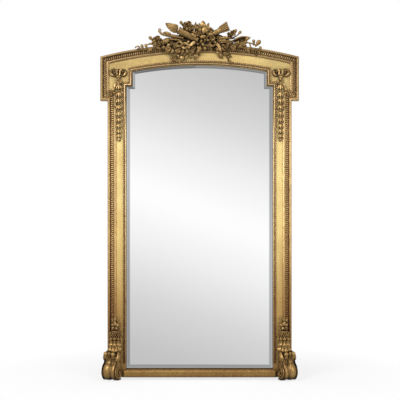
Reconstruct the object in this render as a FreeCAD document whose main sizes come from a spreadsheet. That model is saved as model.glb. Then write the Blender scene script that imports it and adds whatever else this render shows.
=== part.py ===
import FreeCAD, Part
import math
import os
import re
import Sketcher

# A carved and gilded wall mirror with an arched, shouldered frame.
# Millimetres, +Z up, front towards -Y. The origin is the middle of the bottom rail's back face, on the wall.
# Heights called back and front are measured off the wall, towards the viewer.

doc = FreeCAD.newDocument("GiltMirror")

# Driving sizes
SIZES = [
    # Sight opening and the frame members round it
    ("sight_half", "405"),
    ("sight_height", "1637"),
    ("sight_ear_step", "34"),
    ("sight_ear_drop", "80"),
    ("arch_radius", "2050"),
    ("stile_width", "100"),
    ("ear_step", "40"),
    ("ear_drop", "241"),
    ("head_width", "115"),
    ("rail_height", "45"),
    ("foot_drop", "12"),
    # Section through a frame member
    ("core_thick", "42"),
    ("lip_thick", "12"),
    ("rebate_width", "12"),
    ("seat_width", "8"),
    ("band_width", "13"),
    ("band_rise", "22"),
    ("ridge_rise", "5"),
    ("ridge_step", "3"),
    ("leaf_width", "21"),
    ("leaf_rise", "14"),
    ("fillet_width", "14"),
    ("fillet_rise", "5"),
    ("bead_margin", "10"),
    ("bead_width", "12"),
    ("bead_rise", "6"),
    ("bead_stop", "30"),
    ("moulding_reach", "17"),
    ("moulding_rise", "18"),
    ("moulding_drop", "6"),
    ("moulding_round", "12"),
    # Mortise and tenon joints
    ("tenon_thick", "14"),
    ("tenon_shoulder", "10"),
    ("rail_shoulder", "5"),
    ("tenon_length", "50"),
    ("peg_radius", "4"),
    ("peg_depth", "34"),
    # Plate and what holds it
    ("plate_thick", "6"),
    ("plate_gap", "2"),
    ("plate_clearance", "0.3"),
    ("bevel_width", "27"),
    ("bevel_drop", "2.5"),
    ("block_length", "60"),
    ("block_width", "14"),
    # Boards and battens of the back
    ("board_thick", "9"),
    ("board_gap", "1"),
    ("batten_thick", "7"),
    ("batten_width", "60"),
    ("batten_margin", "130"),
    ("screw_radius", "2"),
    ("screw_head_radius", "4"),
    ("screw_length", "14"),
    # Hangers
    ("hanger_below_ear", "60"),
    ("hanger_width", "26"),
    ("hanger_length", "62"),
    ("hanger_thick", "2"),
    ("recess_depth", "10"),
    ("recess_side", "9"),
    ("recess_end", "4"),
    ("hanger_screw_length", "22"),
    ("ring_wire", "2"),
    ("ring_half", "15"),
    ("ring_drop", "20"),
    ("ring_corner", "5"),
    ("ring_clearance", "0.6"),
    ("knuckle_length", "18"),
    ("knuckle_wall", "2"),
    ("knuckle_play", "0.05"),
    # Crest
    ("ground_half", "200"),
    ("ground_rise", "72"),
    ("brace_width", "56"),
    ("brace_thick", "8"),
    ("brace_below", "80"),
    ("brace_above", "50"),
    ("torch_length", "113"),
    ("torch_tilt", "68"),
    ("torch_low_radius", "16"),
    ("torch_neck_radius", "19"),
    ("torch_cup_radius", "23"),
    ("torch_cup_length", "24"),
    ("quiver_length", "66"),
    ("quiver_tilt", "63"),
    ("quiver_low_radius", "14"),
    ("quiver_ring_radius", "21"),
    ("quiver_ring_length", "15"),
    ("arrow_length", "56"),
    ("arrow_radius", "27"),
    ("arrow_ring_radius", "19"),
    ("trophy_height", "6"),
    ("petal_thick", "16"),
    ("spray_thick", "14"),
    ("drop_leaf_thick", "12"),
    ("stalk_radius", "5"),
    ("tail_radius", "6"),
    ("ribbon_loop_width", "8"),
    ("ribbon_loop_thick", "18"),
    # Bows and husks of the upper corners
    ("bow_loop_radius", "23"),
    ("bow_loop_width", "10"),
    ("bow_thick", "12"),
    ("bow_above_step", "70"),
    ("knot_radius", "15"),
    ("knot_rise", "16"),
    ("knot_drop", "32"),
    ("husk_count", "9"),
    ("husk_pitch", "31"),
    ("husk_radius", "13.5"),
    ("husk_tip_radius", "8"),
    ("husk_first_drop", "66"),
    ("husk_lap", "8"),
    ("husk_thick", "19"),
    # Feet
    ("foot_cant", "24"),
    ("foot_width", "84"),
    ("volute_radius", "44"),
    ("foot_inset", "21"),
    ("volute_out", "24"),
    ("scroll_height", "155"),
    ("scroll_waist", "14"),
    ("scroll_hollow", "60"),
    ("volute_turn", "62"),
    ("neck_height", "66"),
    ("neck_radius", "24"),
    ("neck_low_radius", "29"),
    ("cup_height", "48"),
    ("cup_radius", "26"),
    ("cup_rim_radius", "29"),
    ("cup_rim_height", "7"),
    ("cup_rim_taper", "0.5"),
    ("bunch_width", "34"),
    ("bunch_seat", "12"),
    ("cup_inset", "41"),
    ("cup_out", "22"),
]

# Places worked out from the sizes
PLACES = [
    ("stile_half", "sight_half + stile_width"),
    ("ear_half", "stile_half + ear_step"),
    ("sight_ear_half", "sight_half - sight_ear_step"),
    ("rail_under", "-(rail_height - rebate_width - seat_width) / 2"),
    ("rail_top", "rail_under + rail_height"),
    ("floor", "rail_under - foot_drop"),
    ("sight_spring", "rail_top + sight_height"),
    ("sight_step", "sight_spring - sight_ear_drop"),
    ("arch_centre", "sight_spring - sqrt(arch_radius^2 - sight_ear_half^2)"),
    ("outer_radius", "arch_radius + head_width"),
    ("crown", "arch_centre + outer_radius"),
    ("ear_top", "arch_centre + sqrt(outer_radius^2 - ear_half^2)"),
    ("ear_base", "ear_top - ear_drop"),
    ("joint_top", "arch_centre + sqrt(outer_radius^2 - sight_ear_half^2)"),
    ("lip_back", "core_thick - lip_thick"),
    ("seat_depth", "batten_thick + board_thick"),
    ("band_top", "core_thick + band_rise"),
    ("ridge_low", "band_top - ridge_rise"),
    ("leaf_top", "core_thick + leaf_rise"),
    ("fillet_top", "core_thick + fillet_rise"),
    ("bead_top", "core_thick + bead_rise"),
    ("moulding_top", "core_thick + moulding_rise"),
    ("moulding_half", "sight_half + moulding_reach"),
    ("moulding_high", "rail_top - moulding_drop"),
    ("tenon_back", "(core_thick - tenon_thick) / 2"),
    ("tenon_front", "(core_thick + tenon_thick) / 2"),
    ("plate_overlap", "rebate_width - plate_gap"),
    ("plate_front", "lip_back + bevel_drop * (bevel_width - plate_overlap) / bevel_width - plate_clearance"),
    ("plate_edge", "plate_front - bevel_drop"),
    ("plate_back", "plate_front - plate_thick"),
    ("ground_low", "arch_centre + sqrt(outer_radius^2 - ground_half^2)"),
    ("ground_bow", "crown + ground_rise - ground_low"),
    ("ground_radius", "(ground_half^2 + ground_bow^2) / (2 * ground_bow)"),
    ("brace_half", "brace_width / 2"),
    ("brace_low", "crown - brace_below"),
    ("brace_high", "crown + brace_above"),
    ("torch_cup_start", "torch_length - torch_cup_length"),
    ("quiver_ring_start", "quiver_length - quiver_ring_length"),
    ("strip_base", "floor + scroll_height"),
    ("bead_base", "rail_top + bead_stop"),
    ("hanger_across", "(seat_half + stile_half) / 2"),
    ("hanger_up", "ear_base - hanger_below_ear"),
    ("hanger_face", "recess_depth - hanger_thick"),
    ("hanger_pivot", "hanger_face - ring_clearance - ring_wire"),
    ("recess_left", "hanger_across - hanger_width / 2 - recess_side"),
    ("recess_right", "hanger_across + hanger_width / 2 + recess_side"),
    ("recess_low", "hanger_up - hanger_length - recess_end"),
    ("recess_high", "hanger_up + ring_drop + ring_half + ring_wire + recess_end"),
    ("volute_front", "volute_radius * cos(volute_turn)"),
    ("volute_high", "volute_radius * (1 + sin(volute_turn))"),
]

# Outlines that run parallel to the sight opening, each this far outside it
SIGHT_RINGS = [
    ("rebate", "rebate_width"),
    ("seat", "rebate_width + seat_width"),
    ("plate", "plate_overlap"),
    ("bevel", "plate_overlap - bevel_width"),
    ("board", "rebate_width + seat_width - board_gap"),
    ("bead_in", "bead_margin"),
    ("bead_out", "bead_margin + bead_width"),
]

# Outlines that run parallel to the frame's outer edge, each this far inside it
OUTER_RINGS = [
    ("outer", "0"),
    ("ridge_out", "ridge_step"),
    ("ridge_in", "band_width - ridge_step"),
    ("band", "band_width"),
    ("leaf", "band_width + leaf_width"),
    ("fillet", "band_width + leaf_width + fillet_width"),
]


def sight_ring(name, grow):
    """Places of an outline that runs parallel to the sight opening."""
    reach = f"({grow})"
    return [
        (f"{name}_half", f"sight_half + {reach}"),
        (f"{name}_ear_half", f"sight_ear_half + {reach}"),
        (f"{name}_base", f"rail_top - {reach}"),
        (f"{name}_step", f"sight_step + {reach}"),
        (f"{name}_radius", f"arch_radius + {reach}"),
        (f"{name}_spring", f"arch_centre + sqrt({name}_radius^2 - {name}_ear_half^2)"),
    ]


def outer_ring(name, inset):
    """Places of an outline that runs parallel to the frame's outer edge."""
    return [
        (f"{name}_stile", f"stile_half - ({inset})"),
        (f"{name}_ear", f"ear_half - ({inset})"),
        (f"{name}_under", f"ear_base + ({inset})"),
        (f"{name}_arc", f"outer_radius - ({inset})"),
        (f"{name}_shoulder", f"arch_centre + sqrt({name}_arc^2 - {name}_ear^2)"),
    ]


for ring_name, ring_reach in SIGHT_RINGS:
    PLACES += sight_ring(ring_name, ring_reach)
for ring_name, ring_reach in OUTER_RINGS:
    PLACES += outer_ring(ring_name, ring_reach)
PLACES += [
    ("board_split", "board_half / 3 + board_gap / 2"),
    ("board_split_top", "arch_centre + sqrt(board_radius^2 - board_split^2)"),
    ("centre_split", "board_half / 3 - board_gap / 2"),
    ("centre_split_top", "arch_centre + sqrt(board_radius^2 - centre_split^2)"),
    ("stile_tenon_in", "seat_half + tenon_shoulder"),
    ("stile_tenon_out", "stile_half - tenon_shoulder"),
    ("stile_tenon_high", "ear_base + tenon_length"),
    ("rail_tenon_out", "sight_half + tenon_length"),
    ("rail_tenon_low", "rail_under + rail_shoulder"),
    ("rail_tenon_high", "seat_base"),
    ("head_tenon_out", "sight_ear_half + tenon_length"),
    ("head_tenon_low", "seat_spring + tenon_shoulder"),
    ("head_tenon_high", "joint_top - tenon_shoulder"),
]

SHEET_OF = {name: "Dims." for name, text in SIZES}
SHEET_OF.update({name: "Places." for name, text in PLACES})


def linked(text):
    """A formula over size names, with each name pointing at its sheet."""
    return re.sub(r"[a-z_]+", lambda found: SHEET_OF.get(found.group(), "") + found.group(), text)


def fill_sheet(title, rows):
    """A spreadsheet of named cells."""
    sheet = doc.addObject("Spreadsheet::Sheet", title)
    for row, (name, text) in enumerate(rows, 1):
        sheet.set(f"A{row}", name)
        sheet.set(f"B{row}", text)
        sheet.setAlias(f"B{row}", name)
    return sheet


dims = fill_sheet("Dims", SIZES)
places = fill_sheet("Places", [(name, "=" + linked(text)) for name, text in PLACES])
doc.recompute()


def size(name):
    """The number behind a size or place; a leading minus turns it over."""
    if name.startswith("-"):
        return -size(name[1:])
    sheet = dims if SHEET_OF[name] == "Dims." else places
    return float(sheet.get(name))


def bind(piece, **formulas):
    """Tie properties of a piece to formulas over the named sizes."""
    for prop, text in formulas.items():
        piece.setExpression(prop.replace("__", "."), linked(text))


# Sketched pieces

def arc_between(start, finish, radius, turn):
    """Arc from start to finish; turn is 1 where it runs anticlockwise and -1 where it runs clockwise."""
    chord = finish - start
    middle = (start + finish) * 0.5
    to_centre = FreeCAD.Vector(-chord.y, chord.x, 0) * (turn / chord.Length)
    centre = middle + to_centre * math.sqrt(radius ** 2 - (chord.Length / 2) ** 2)
    first, last = (start, finish) if turn > 0 else (finish, start)
    angles = [math.atan2(end.y - centre.y, end.x - centre.x) for end in (first, last)]
    return Part.ArcOfCircle(Part.Circle(centre, FreeCAD.Vector(0, 0, 1), radius), *angles)


def pin_point(sketch, side, end, axis, name):
    """Fix one coordinate of a corner at a named place; None puts it on the sketch's own axis."""
    if name is None:
        other_axis = -2 if axis == "DistanceX" else -1
        sketch.addConstraint(Sketcher.Constraint("PointOnObject", side, end, other_axis))
        return
    row = sketch.addConstraint(Sketcher.Constraint(axis, -1, 1, side, end, size(name)))
    sketch.setExpression(f"Constraints[{row}]", linked(name))


def draw_outline(sketch, corners, arcs):
    """Closed outline through named corners; arcs gives a side's radius and turn by the side's number."""
    points = [FreeCAD.Vector(*(0 if name is None else size(name) for name in corner)) for corner in corners]
    count = len(points)
    ends = []
    for side in range(count):
        start, finish = points[side], points[(side + 1) % count]
        if side in arcs:
            radius, turn = arcs[side]
            sketch.addGeometry(arc_between(start, finish, size(radius), turn), False)
        else:
            turn = 1
            sketch.addGeometry(Part.LineSegment(start, finish), False)
        ends.append((1, 2) if turn > 0 else (2, 1))
    for side in range(count):
        after = (side + 1) % count
        sketch.addConstraint(Sketcher.Constraint("Coincident", side, ends[side][1], after, ends[after][0]))
    for side, (across, up) in enumerate(corners):
        pin_point(sketch, side, ends[side][0], "DistanceX", across)
        pin_point(sketch, side, ends[side][0], "DistanceY", up)
    for side, (radius, turn) in arcs.items():
        row = sketch.addConstraint(Sketcher.Constraint("Radius", side, size(radius)))
        sketch.setExpression(f"Constraints[{row}]", linked(radius))


def upright_sketch(body, corners, arcs, height):
    """Outline drawn in the wall's plane, moved out to a height off the wall."""
    sketch = body.newObject("Sketcher::SketchObject", "Outline")
    plane = [item for item in body.Origin.OriginFeatures if item.Role == "XZ_Plane"][0]
    sketch.AttachmentSupport = [(plane, "")]
    sketch.MapMode = "FlatFace"
    draw_outline(sketch, corners, arcs)
    if height:
        bind(sketch, AttachmentOffset__Base__z=height)
    return sketch


def add_panel(body, corners, arcs, back, front):
    """Add the outline to a body, filled from one height off the wall to another."""
    pad = body.newObject("PartDesign::Pad", "Panel")
    pad.Profile = upright_sketch(body, corners, arcs, back)
    bind(pad, Length=f"{front} - {back}" if back else front)
    doc.recompute()
    return pad


def cut_panel(body, corners, arcs, back, front):
    """Cut the outline out of a body between two heights off the wall; no back height cuts from the wall."""
    before = body.Shape.Volume
    pocket = body.newObject("PartDesign::Pocket", "Recess")
    pocket.Profile = upright_sketch(body, corners, arcs, front)
    bind(pocket, Length=f"{front} - {back}" if back else front)
    doc.recompute()
    if body.Shape.Volume >= before:
        raise RuntimeError(f"{body.Label}: a recess cuts nothing")


def panel(name, corners, arcs, back, front):
    """A flat piece in a body of its own."""
    body = doc.addObject("PartDesign::Body", name)
    add_panel(body, corners, arcs, back, front)
    return body


def rectangle(left, right, low, high):
    """Corners of an upright rectangle between named places."""
    return [(left, low), (right, low), (right, high), (left, high)]


def opening(name):
    """The whole shouldered, arched outline of a ring round the sight opening, with its arc."""
    corners = [
        (f"-{name}_half", f"{name}_base"),
        (f"{name}_half", f"{name}_base"),
        (f"{name}_half", f"{name}_step"),
        (f"{name}_ear_half", f"{name}_step"),
        (f"{name}_ear_half", f"{name}_spring"),
        (f"-{name}_ear_half", f"{name}_spring"),
        (f"-{name}_ear_half", f"{name}_step"),
        (f"-{name}_half", f"{name}_step"),
    ]
    return corners, {4: (f"{name}_radius", 1)}


def cut_rebates(body):
    """The plate's rebate and the wider seat of the back boards."""
    for ring, depth in (("rebate", "lip_back"), ("seat", "seat_depth")):
        corners, arcs = opening(ring)
        cut_panel(body, corners, arcs, None, depth)


def round_front(body, height, radius):
    """Round the front edges of a moulding at a height off the wall."""
    level = -size(height)
    base = body.Tip
    names = []
    for number, edge in enumerate(base.Shape.Edges, 1):
        box = edge.BoundBox
        if abs(box.YMin - level) < 1e-4 and abs(box.YMax - level) < 1e-4:
            names.append(f"Edge{number}")
    fillet = body.newObject("PartDesign::Fillet", "Rounding")
    fillet.Base = (base, names)
    bind(fillet, Radius=radius)
    doc.recompute()


# Plain solids and booleans

def block(name, left, right, back, front, low, high):
    """A rectangular block between formulas, with back and front as heights off the wall."""
    box = doc.addObject("Part::Box", name)
    bind(
        box,
        Length=f"({right}) - ({left})",
        Width=f"({front}) - ({back})",
        Height=f"({high}) - ({low})",
        Placement__Base__x=left,
        Placement__Base__y=f"-({front})",
        Placement__Base__z=low,
    )
    return box


def without(name, base, *tools):
    """What is left of a piece after the tools are cut away."""
    for number, tool in enumerate(tools):
        cut = doc.addObject("Part::Cut", name if number == len(tools) - 1 else f"{name}_cut")
        cut.Base = base
        cut.Tool = tool
        base = cut
    return base


def together(name, *shapes):
    """Several solids fused into one."""
    fuse = doc.addObject("Part::MultiFuse", name)
    fuse.Shapes = list(shapes)
    return fuse


def mirrored(name, source):
    """The left-hand twin of a right-hand piece."""
    twin = doc.addObject("Part::Mirroring", name)
    twin.Source = source
    twin.Normal = FreeCAD.Vector(1, 0, 0)
    return twin


def carved(name, shape):
    """A piece whose form is carved rather than sawn or turned."""
    piece = doc.addObject("Part::Feature", name)
    piece.Shape = shape
    return piece


nodes = {}


def keep(name, piece):
    """Name a finished sub-part."""
    piece.Label = name
    nodes[name] = piece


def keep_pair(name, right):
    """Name a right-hand sub-part and its left-hand twin."""
    keep(f"right_{name}", right)
    keep(f"left_{name}", mirrored(f"left_{name}_twin", right))


# Carving

def point(across, front, up):
    """A point from its place across, its height off the wall and its place up."""
    return FreeCAD.Vector(across, -front, up)


def fused(shapes):
    """One shape from overlapping shapes."""
    whole = shapes[0]
    for shape in shapes[1:]:
        whole = whole.fuse(shape)
    return whole


def behind(front):
    """Everything behind a height off the wall."""
    reach = size("crown") * 2
    return Part.makeBox(reach, reach, reach, FreeCAD.Vector(-reach / 2, -front, -reach / 4))


def leaf(base, tip, width, back, thick):
    """A pointed leaf between two arcs, standing forward from its flat back."""
    start = point(base[0], back, base[1])
    finish = point(tip[0], back, tip[1])
    along = finish - start
    side = FreeCAD.Vector(-along.z, 0, along.x) * (width / 2 / along.Length)
    middle = (start + finish) * 0.5
    edges = [
        Part.Arc(start, middle + side, finish).toShape(),
        Part.Arc(finish, middle - side, start).toShape(),
    ]
    return Part.Face(Part.Wire(edges)).extrude(FreeCAD.Vector(0, -thick, 0))


def bloom(across, up, radius, back, rise):
    """A flower head: a cap of a ball on a flat back."""
    ball = (radius ** 2 + rise ** 2) / (2 * rise)
    low_angle = math.degrees(math.asin((ball - rise) / ball))
    centre = point(across, back + rise - ball, up)
    return Part.makeSphere(ball, centre, FreeCAD.Vector(0, -1, 0), low_angle, 90, 360)


def loop(across, up, radius, width, back, thick):
    """A ribbon loop: a flat ring."""
    centre = point(across, back, up)
    forward = FreeCAD.Vector(0, -1, 0)
    outside = Part.makeCylinder(radius, thick, centre, forward)
    return outside.cut(Part.makeCylinder(radius - width, thick, centre, forward))


def stem(route, radius, back):
    """A stalk of even width along its route, flat on its ground; the route has a bend in it."""
    middle = Part.makePolygon([point(across, back, up) for across, up in route])
    return Part.Face(middle.makeOffset2D(radius)).extrude(FreeCAD.Vector(0, -radius * 1.6, 0))


def on_crown(places_list):
    """Places given from the crown of the head, as places in the frame."""
    crown = size("crown")
    return [(across, up + crown) for across, up in places_list]


# Frame members

def joint_pegs():
    """Pegs through every tenon, from the back."""
    radius = size("peg_radius")
    stile_in = size("stile_tenon_in")
    stile_out = size("stile_tenon_out")
    quarter = (stile_out - stile_in) / 4
    stile_up = size("ear_base") + size("tenon_length") / 2
    rail_up = (size("rail_tenon_low") + size("rail_tenon_high")) / 2
    head_across = size("sight_ear_half") + size("tenon_length") / 2
    head_low = size("head_tenon_low")
    head_step = (size("head_tenon_high") - head_low) / 4
    spots = [
        (stile_in + quarter, stile_up),
        (stile_out - quarter, stile_up),
        (size("sight_half") + size("tenon_length") / 2, rail_up),
        (head_across, head_low + head_step),
        (head_across, head_low + 3 * head_step),
    ]
    forward = FreeCAD.Vector(0, -1, 0)
    pegs = [
        Part.makeCylinder(radius, size("peg_depth"), point(side * across, 0, up), forward)
        for across, up in spots
        for side in (-1, 1)
    ]
    return carved("peg_group", Part.makeCompound(pegs))


def hanger_screws():
    """Two countersunk screws through each hanger plate into its stile."""
    across = size("hanger_across")
    drop = size("hanger_length")
    spots = [(side * across, size("hanger_up") - drop * share) for side in (-1, 1) for share in (0.4, 0.8)]
    screws = [wood_screw(*spot, size("hanger_face"), size("hanger_screw_length")) for spot in spots]
    return carved("hanger_screw_group", Part.makeCompound(screws))


def wood_screw(across, up, front, length):
    """A countersunk screw driven forwards, its flat head at a height off the wall."""
    shank = size("screw_radius")
    head = size("screw_head_radius")
    top = point(across, front, up)
    forward = FreeCAD.Vector(0, -1, 0)
    cone = Part.makeCone(head, shank, head - shank, top, forward)
    return cone.fuse(Part.makeCylinder(shank, length, top, forward))


pegs = joint_pegs()
plate_screws = hanger_screws()
STILE_TENON = rectangle("stile_tenon_in", "stile_tenon_out", "ear_base", "stile_tenon_high")
RIGHT_RAIL_TENON = rectangle("sight_half", "rail_tenon_out", "rail_tenon_low", "rail_tenon_high")
LEFT_RAIL_TENON = rectangle("-rail_tenon_out", "-sight_half", "rail_tenon_low", "rail_tenon_high")
RIGHT_HEAD_TENON = rectangle("sight_ear_half", "head_tenon_out", "head_tenon_low", "head_tenon_high")
LEFT_HEAD_TENON = rectangle("-head_tenon_out", "-sight_ear_half", "head_tenon_low", "head_tenon_high")
HANGER_RECESS = rectangle("recess_left", "recess_right", "recess_low", "recess_high")
BRACE = rectangle("-brace_half", "brace_half", "brace_low", "brace_high")


def stile():
    """Right upright, with its tenon, rebates, the mortise for the bottom rail and the hanger's recess."""
    corners = rectangle("sight_half", "stile_half", "rail_under", "ear_base")
    body = panel("stile", corners, {}, None, "core_thick")
    cut_rebates(body)
    cut_panel(body, HANGER_RECESS, {}, None, "recess_depth")
    cut_panel(body, RIGHT_RAIL_TENON, {}, "tenon_back", "tenon_front")
    add_panel(body, STILE_TENON, {}, "tenon_back", "tenon_front")
    return without("stile_bored", body, pegs, plate_screws)


def corner_block():
    """Right shoulder, mortised for the stile and the head rail."""
    corners = [
        ("sight_half", "ear_base"),
        ("ear_half", "ear_base"),
        ("ear_half", "ear_top"),
        ("sight_ear_half", "joint_top"),
        ("sight_ear_half", "sight_step"),
        ("sight_half", "sight_step"),
    ]
    body = panel("corner", corners, {2: ("outer_radius", 1)}, None, "core_thick")
    cut_rebates(body)
    cut_panel(body, STILE_TENON, {}, "tenon_back", "tenon_front")
    cut_panel(body, RIGHT_HEAD_TENON, {}, "tenon_back", "tenon_front")
    return without("corner_bored", body, pegs)


def head_rail():
    """Arched head between the corner blocks, recessed at the back for the crest's brace."""
    corners = [
        ("-sight_ear_half", "sight_spring"),
        ("sight_ear_half", "sight_spring"),
        ("sight_ear_half", "joint_top"),
        ("-sight_ear_half", "joint_top"),
    ]
    arcs = {0: ("arch_radius", -1), 2: ("outer_radius", 1)}
    body = panel("head", corners, arcs, None, "core_thick")
    cut_rebates(body)
    cut_panel(body, BRACE, {}, None, "brace_thick")
    for tenon in (LEFT_HEAD_TENON, RIGHT_HEAD_TENON):
        add_panel(body, tenon, {}, "tenon_back", "tenon_front")
    return without("head_bored", body, pegs, brace_screws)


def bottom_rail():
    """Straight rail between the stiles, with a tenon at each end."""
    outline = rectangle("-sight_half", "sight_half", "rail_under", "rail_top")
    body = panel("rail", outline, {}, None, "core_thick")
    cut_rebates(body)
    for tenon in (LEFT_RAIL_TENON, RIGHT_RAIL_TENON):
        add_panel(body, tenon, {}, "tenon_back", "tenon_front")
    return without("rail_bored", body, pegs)


def crest_brace_screws():
    """Four screws through the brace, two into the head rail and two into the crest."""
    crown = size("crown")
    across = size("brace_width") / 4
    levels = (crown - size("brace_below") / 2, crown + size("brace_above") / 2)
    depth = size("brace_thick") + size("screw_length")
    screws = [wood_screw(side * across, up, 0, depth) for up in levels for side in (-1, 1)]
    return carved("brace_screw_group", Part.makeCompound(screws))


brace_screws = crest_brace_screws()
keep_pair("stile", stile())
keep_pair("corner_block", corner_block())
keep("head_rail", head_rail())
keep("bottom_rail", bottom_rail())
keep("joint_pegs", pegs)


# Applied mouldings

def side_strip(outside, inside):
    """Outline of a strip up the right stile, out under the ear and up the ear's side."""
    return [
        (f"{inside}_stile", "strip_base"),
        (f"{outside}_stile", "strip_base"),
        (f"{outside}_stile", f"{outside}_under"),
        (f"{outside}_ear", f"{outside}_under"),
        (f"{outside}_ear", f"{outside}_shoulder"),
        (f"{inside}_ear", f"{inside}_shoulder"),
        (f"{inside}_ear", f"{inside}_under"),
        (f"{inside}_stile", f"{inside}_under"),
    ]


def head_strip(outside, inside):
    """Outline of a strip over the head, mitred to the side strips, with its arcs."""
    corners = [
        (f"-{inside}_ear", f"{inside}_shoulder"),
        (f"{inside}_ear", f"{inside}_shoulder"),
        (f"{outside}_ear", f"{outside}_shoulder"),
        (f"-{outside}_ear", f"{outside}_shoulder"),
    ]
    return corners, {0: (f"{inside}_arc", -1), 2: (f"{outside}_arc", 1)}


def outer_bands():
    """Plain raised band round the frame's outer edge, with a narrower ridge along it."""
    side = panel("side_band", side_strip("outer", "band"), {}, "core_thick", "ridge_low")
    add_panel(side, side_strip("ridge_out", "ridge_in"), {}, "ridge_low", "band_top")
    keep_pair("outer_band", side)
    head = panel("head_band", *head_strip("outer", "band"), "core_thick", "ridge_low")
    add_panel(head, *head_strip("ridge_out", "ridge_in"), "ridge_low", "band_top")
    keep("head_outer_band", head)


def leaf_strips():
    """Leaf moulding inside the band, with the lower fillet along it."""
    side = panel("side_leaf", side_strip("band", "leaf"), {}, "core_thick", "leaf_top")
    add_panel(side, side_strip("leaf", "fillet"), {}, "core_thick", "fillet_top")
    keep_pair("leaf_strip", side)
    head = panel("head_leaf", *head_strip("band", "leaf"), "core_thick", "leaf_top")
    add_panel(head, *head_strip("leaf", "fillet"), "core_thick", "fillet_top")
    keep("head_leaf_strip", head)


def bead_strips():
    """Beads along the sight edge: up the stile, in over the ear's step and over the arch."""
    corners = [
        ("bead_in_half", "bead_base"),
        ("bead_out_half", "bead_base"),
        ("bead_out_half", "bead_out_step"),
        ("bead_out_ear_half", "bead_out_step"),
        ("bead_out_ear_half", "bead_out_spring"),
        ("bead_in_ear_half", "bead_in_spring"),
        ("bead_in_ear_half", "bead_in_step"),
        ("bead_in_half", "bead_in_step"),
    ]
    keep_pair("bead_strip", panel("side_bead", corners, {}, "core_thick", "bead_top"))
    corners = [
        ("-bead_in_ear_half", "bead_in_spring"),
        ("bead_in_ear_half", "bead_in_spring"),
        ("bead_out_ear_half", "bead_out_spring"),
        ("-bead_out_ear_half", "bead_out_spring"),
    ]
    arcs = {0: ("bead_in_radius", -1), 2: ("bead_out_radius", 1)}
    keep("head_bead_strip", panel("head_bead", corners, arcs, "core_thick", "bead_top"))


def bottom_moulding():
    """Plain rounded moulding on the bottom rail, between the feet."""
    outline = rectangle("-moulding_half", "moulding_half", "rail_under", "moulding_high")
    body = panel("rail_moulding", outline, {}, "core_thick", "moulding_top")
    round_front(body, "moulding_top", "moulding_round")
    keep("bottom_moulding", body)


outer_bands()
leaf_strips()
bead_strips()
bottom_moulding()


# Plate and back

def mirror_plate():
    """Silvered plate with a bevel all round its front."""
    corners, arcs = opening("plate")
    body = panel("plate", corners, arcs, "plate_back", "plate_edge")
    loft = body.newObject("PartDesign::AdditiveLoft", "Bevel")
    loft.Profile = upright_sketch(body, corners, arcs, "plate_edge")
    loft.Sections = [upright_sketch(body, *opening("bevel"), "plate_front")]
    loft.Ruled = True
    keep("mirror_plate", body)


def plate_blocks():
    """Blocks in the rebate behind the plate, and two thin ones that it stands on."""
    length = size("block_length")
    width = size("block_width")
    depth = size("plate_back") - size("seat_depth")
    wall = size("rebate_half")
    low = size("plate_base")
    run = size("sight_step") - low
    blocks = []
    for side in (-1, 1):
        left = wall - width if side > 0 else -wall
        for share in (0.1, 0.3, 0.5, 0.7, 0.9):
            corner = point(left, size("plate_back"), low + run * share - length / 2)
            blocks.append(Part.makeBox(width, depth, length, corner))
        across = side * size("sight_half") / 2 - length / 2
        corner = point(across, size("plate_back"), size("rebate_base"))
        blocks.append(Part.makeBox(length, depth, width, corner))
        foot = point(across, size("plate_edge"), size("rebate_base"))
        blocks.append(Part.makeBox(length, size("plate_edge") - size("plate_back"), size("plate_gap"), foot))
    return carved("plate_block_group", Part.makeCompound(blocks))


def batten_levels():
    """Names of the battens with the formula for the underside of each."""
    return [
        ("lower_batten", "rail_top + batten_margin"),
        ("middle_batten", "(rail_top + sight_step - batten_width) / 2"),
        ("upper_batten", "sight_step - batten_margin - batten_width"),
    ]


def batten_screws(battens):
    """Two screws through each batten into each board."""
    reach = size("board_half")
    screws = []
    for batten in battens:
        up = batten.Placement.Base.z + size("batten_width") / 2
        for sixth in (-5, -3, -1, 1, 3, 5):
            screws.append(wood_screw(reach * sixth / 6, up, 0, size("screw_length")))
    return carved("batten_screw_group", Part.makeCompound(screws))


def back_boards():
    """Three boards in the seat at the back, and three battens across them."""
    battens = [
        block(name + "_blank", "-board_half", "board_half", "0", "batten_thick", low, f"{low} + batten_width")
        for name, low in batten_levels()
    ]
    doc.recompute()
    screws = batten_screws(battens)
    for (name, low), batten in zip(batten_levels(), battens):
        keep(name, without(name + "_bored", batten, screws))
    corners = [
        ("board_split", "board_base"),
        ("board_half", "board_base"),
        ("board_half", "board_step"),
        ("board_ear_half", "board_step"),
        ("board_ear_half", "board_spring"),
        ("board_split", "board_split_top"),
    ]
    side = panel("side_board", corners, {4: ("board_radius", 1)}, "batten_thick", "seat_depth")
    keep_pair("back_board", without("side_board_bored", side, screws))
    corners = [
        ("-centre_split", "board_base"),
        ("centre_split", "board_base"),
        ("centre_split", "centre_split_top"),
        ("-centre_split", "centre_split_top"),
    ]
    centre = panel("centre_board", corners, {2: ("board_radius", 1)}, "batten_thick", "seat_depth")
    keep("centre_back_board", without("centre_board_bored", centre, screws))
    keep("batten_screws", screws)


mirror_plate()
keep("plate_blocks", plate_blocks())
back_boards()


# Hangers

def along_x(name, radius, left, length):
    """A cylinder along X on the hanger's pivot."""
    cylinder = doc.addObject("Part::Cylinder", name)
    bind(
        cylinder,
        Radius=radius,
        Height=length,
        Placement__Base__x=left,
        Placement__Base__y="-hanger_pivot",
        Placement__Base__z="hanger_up",
        Placement__Rotation__Angle="90",
    )
    cylinder.Placement.Rotation.Axis = FreeCAD.Vector(0, 1, 0)
    return cylinder


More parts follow.
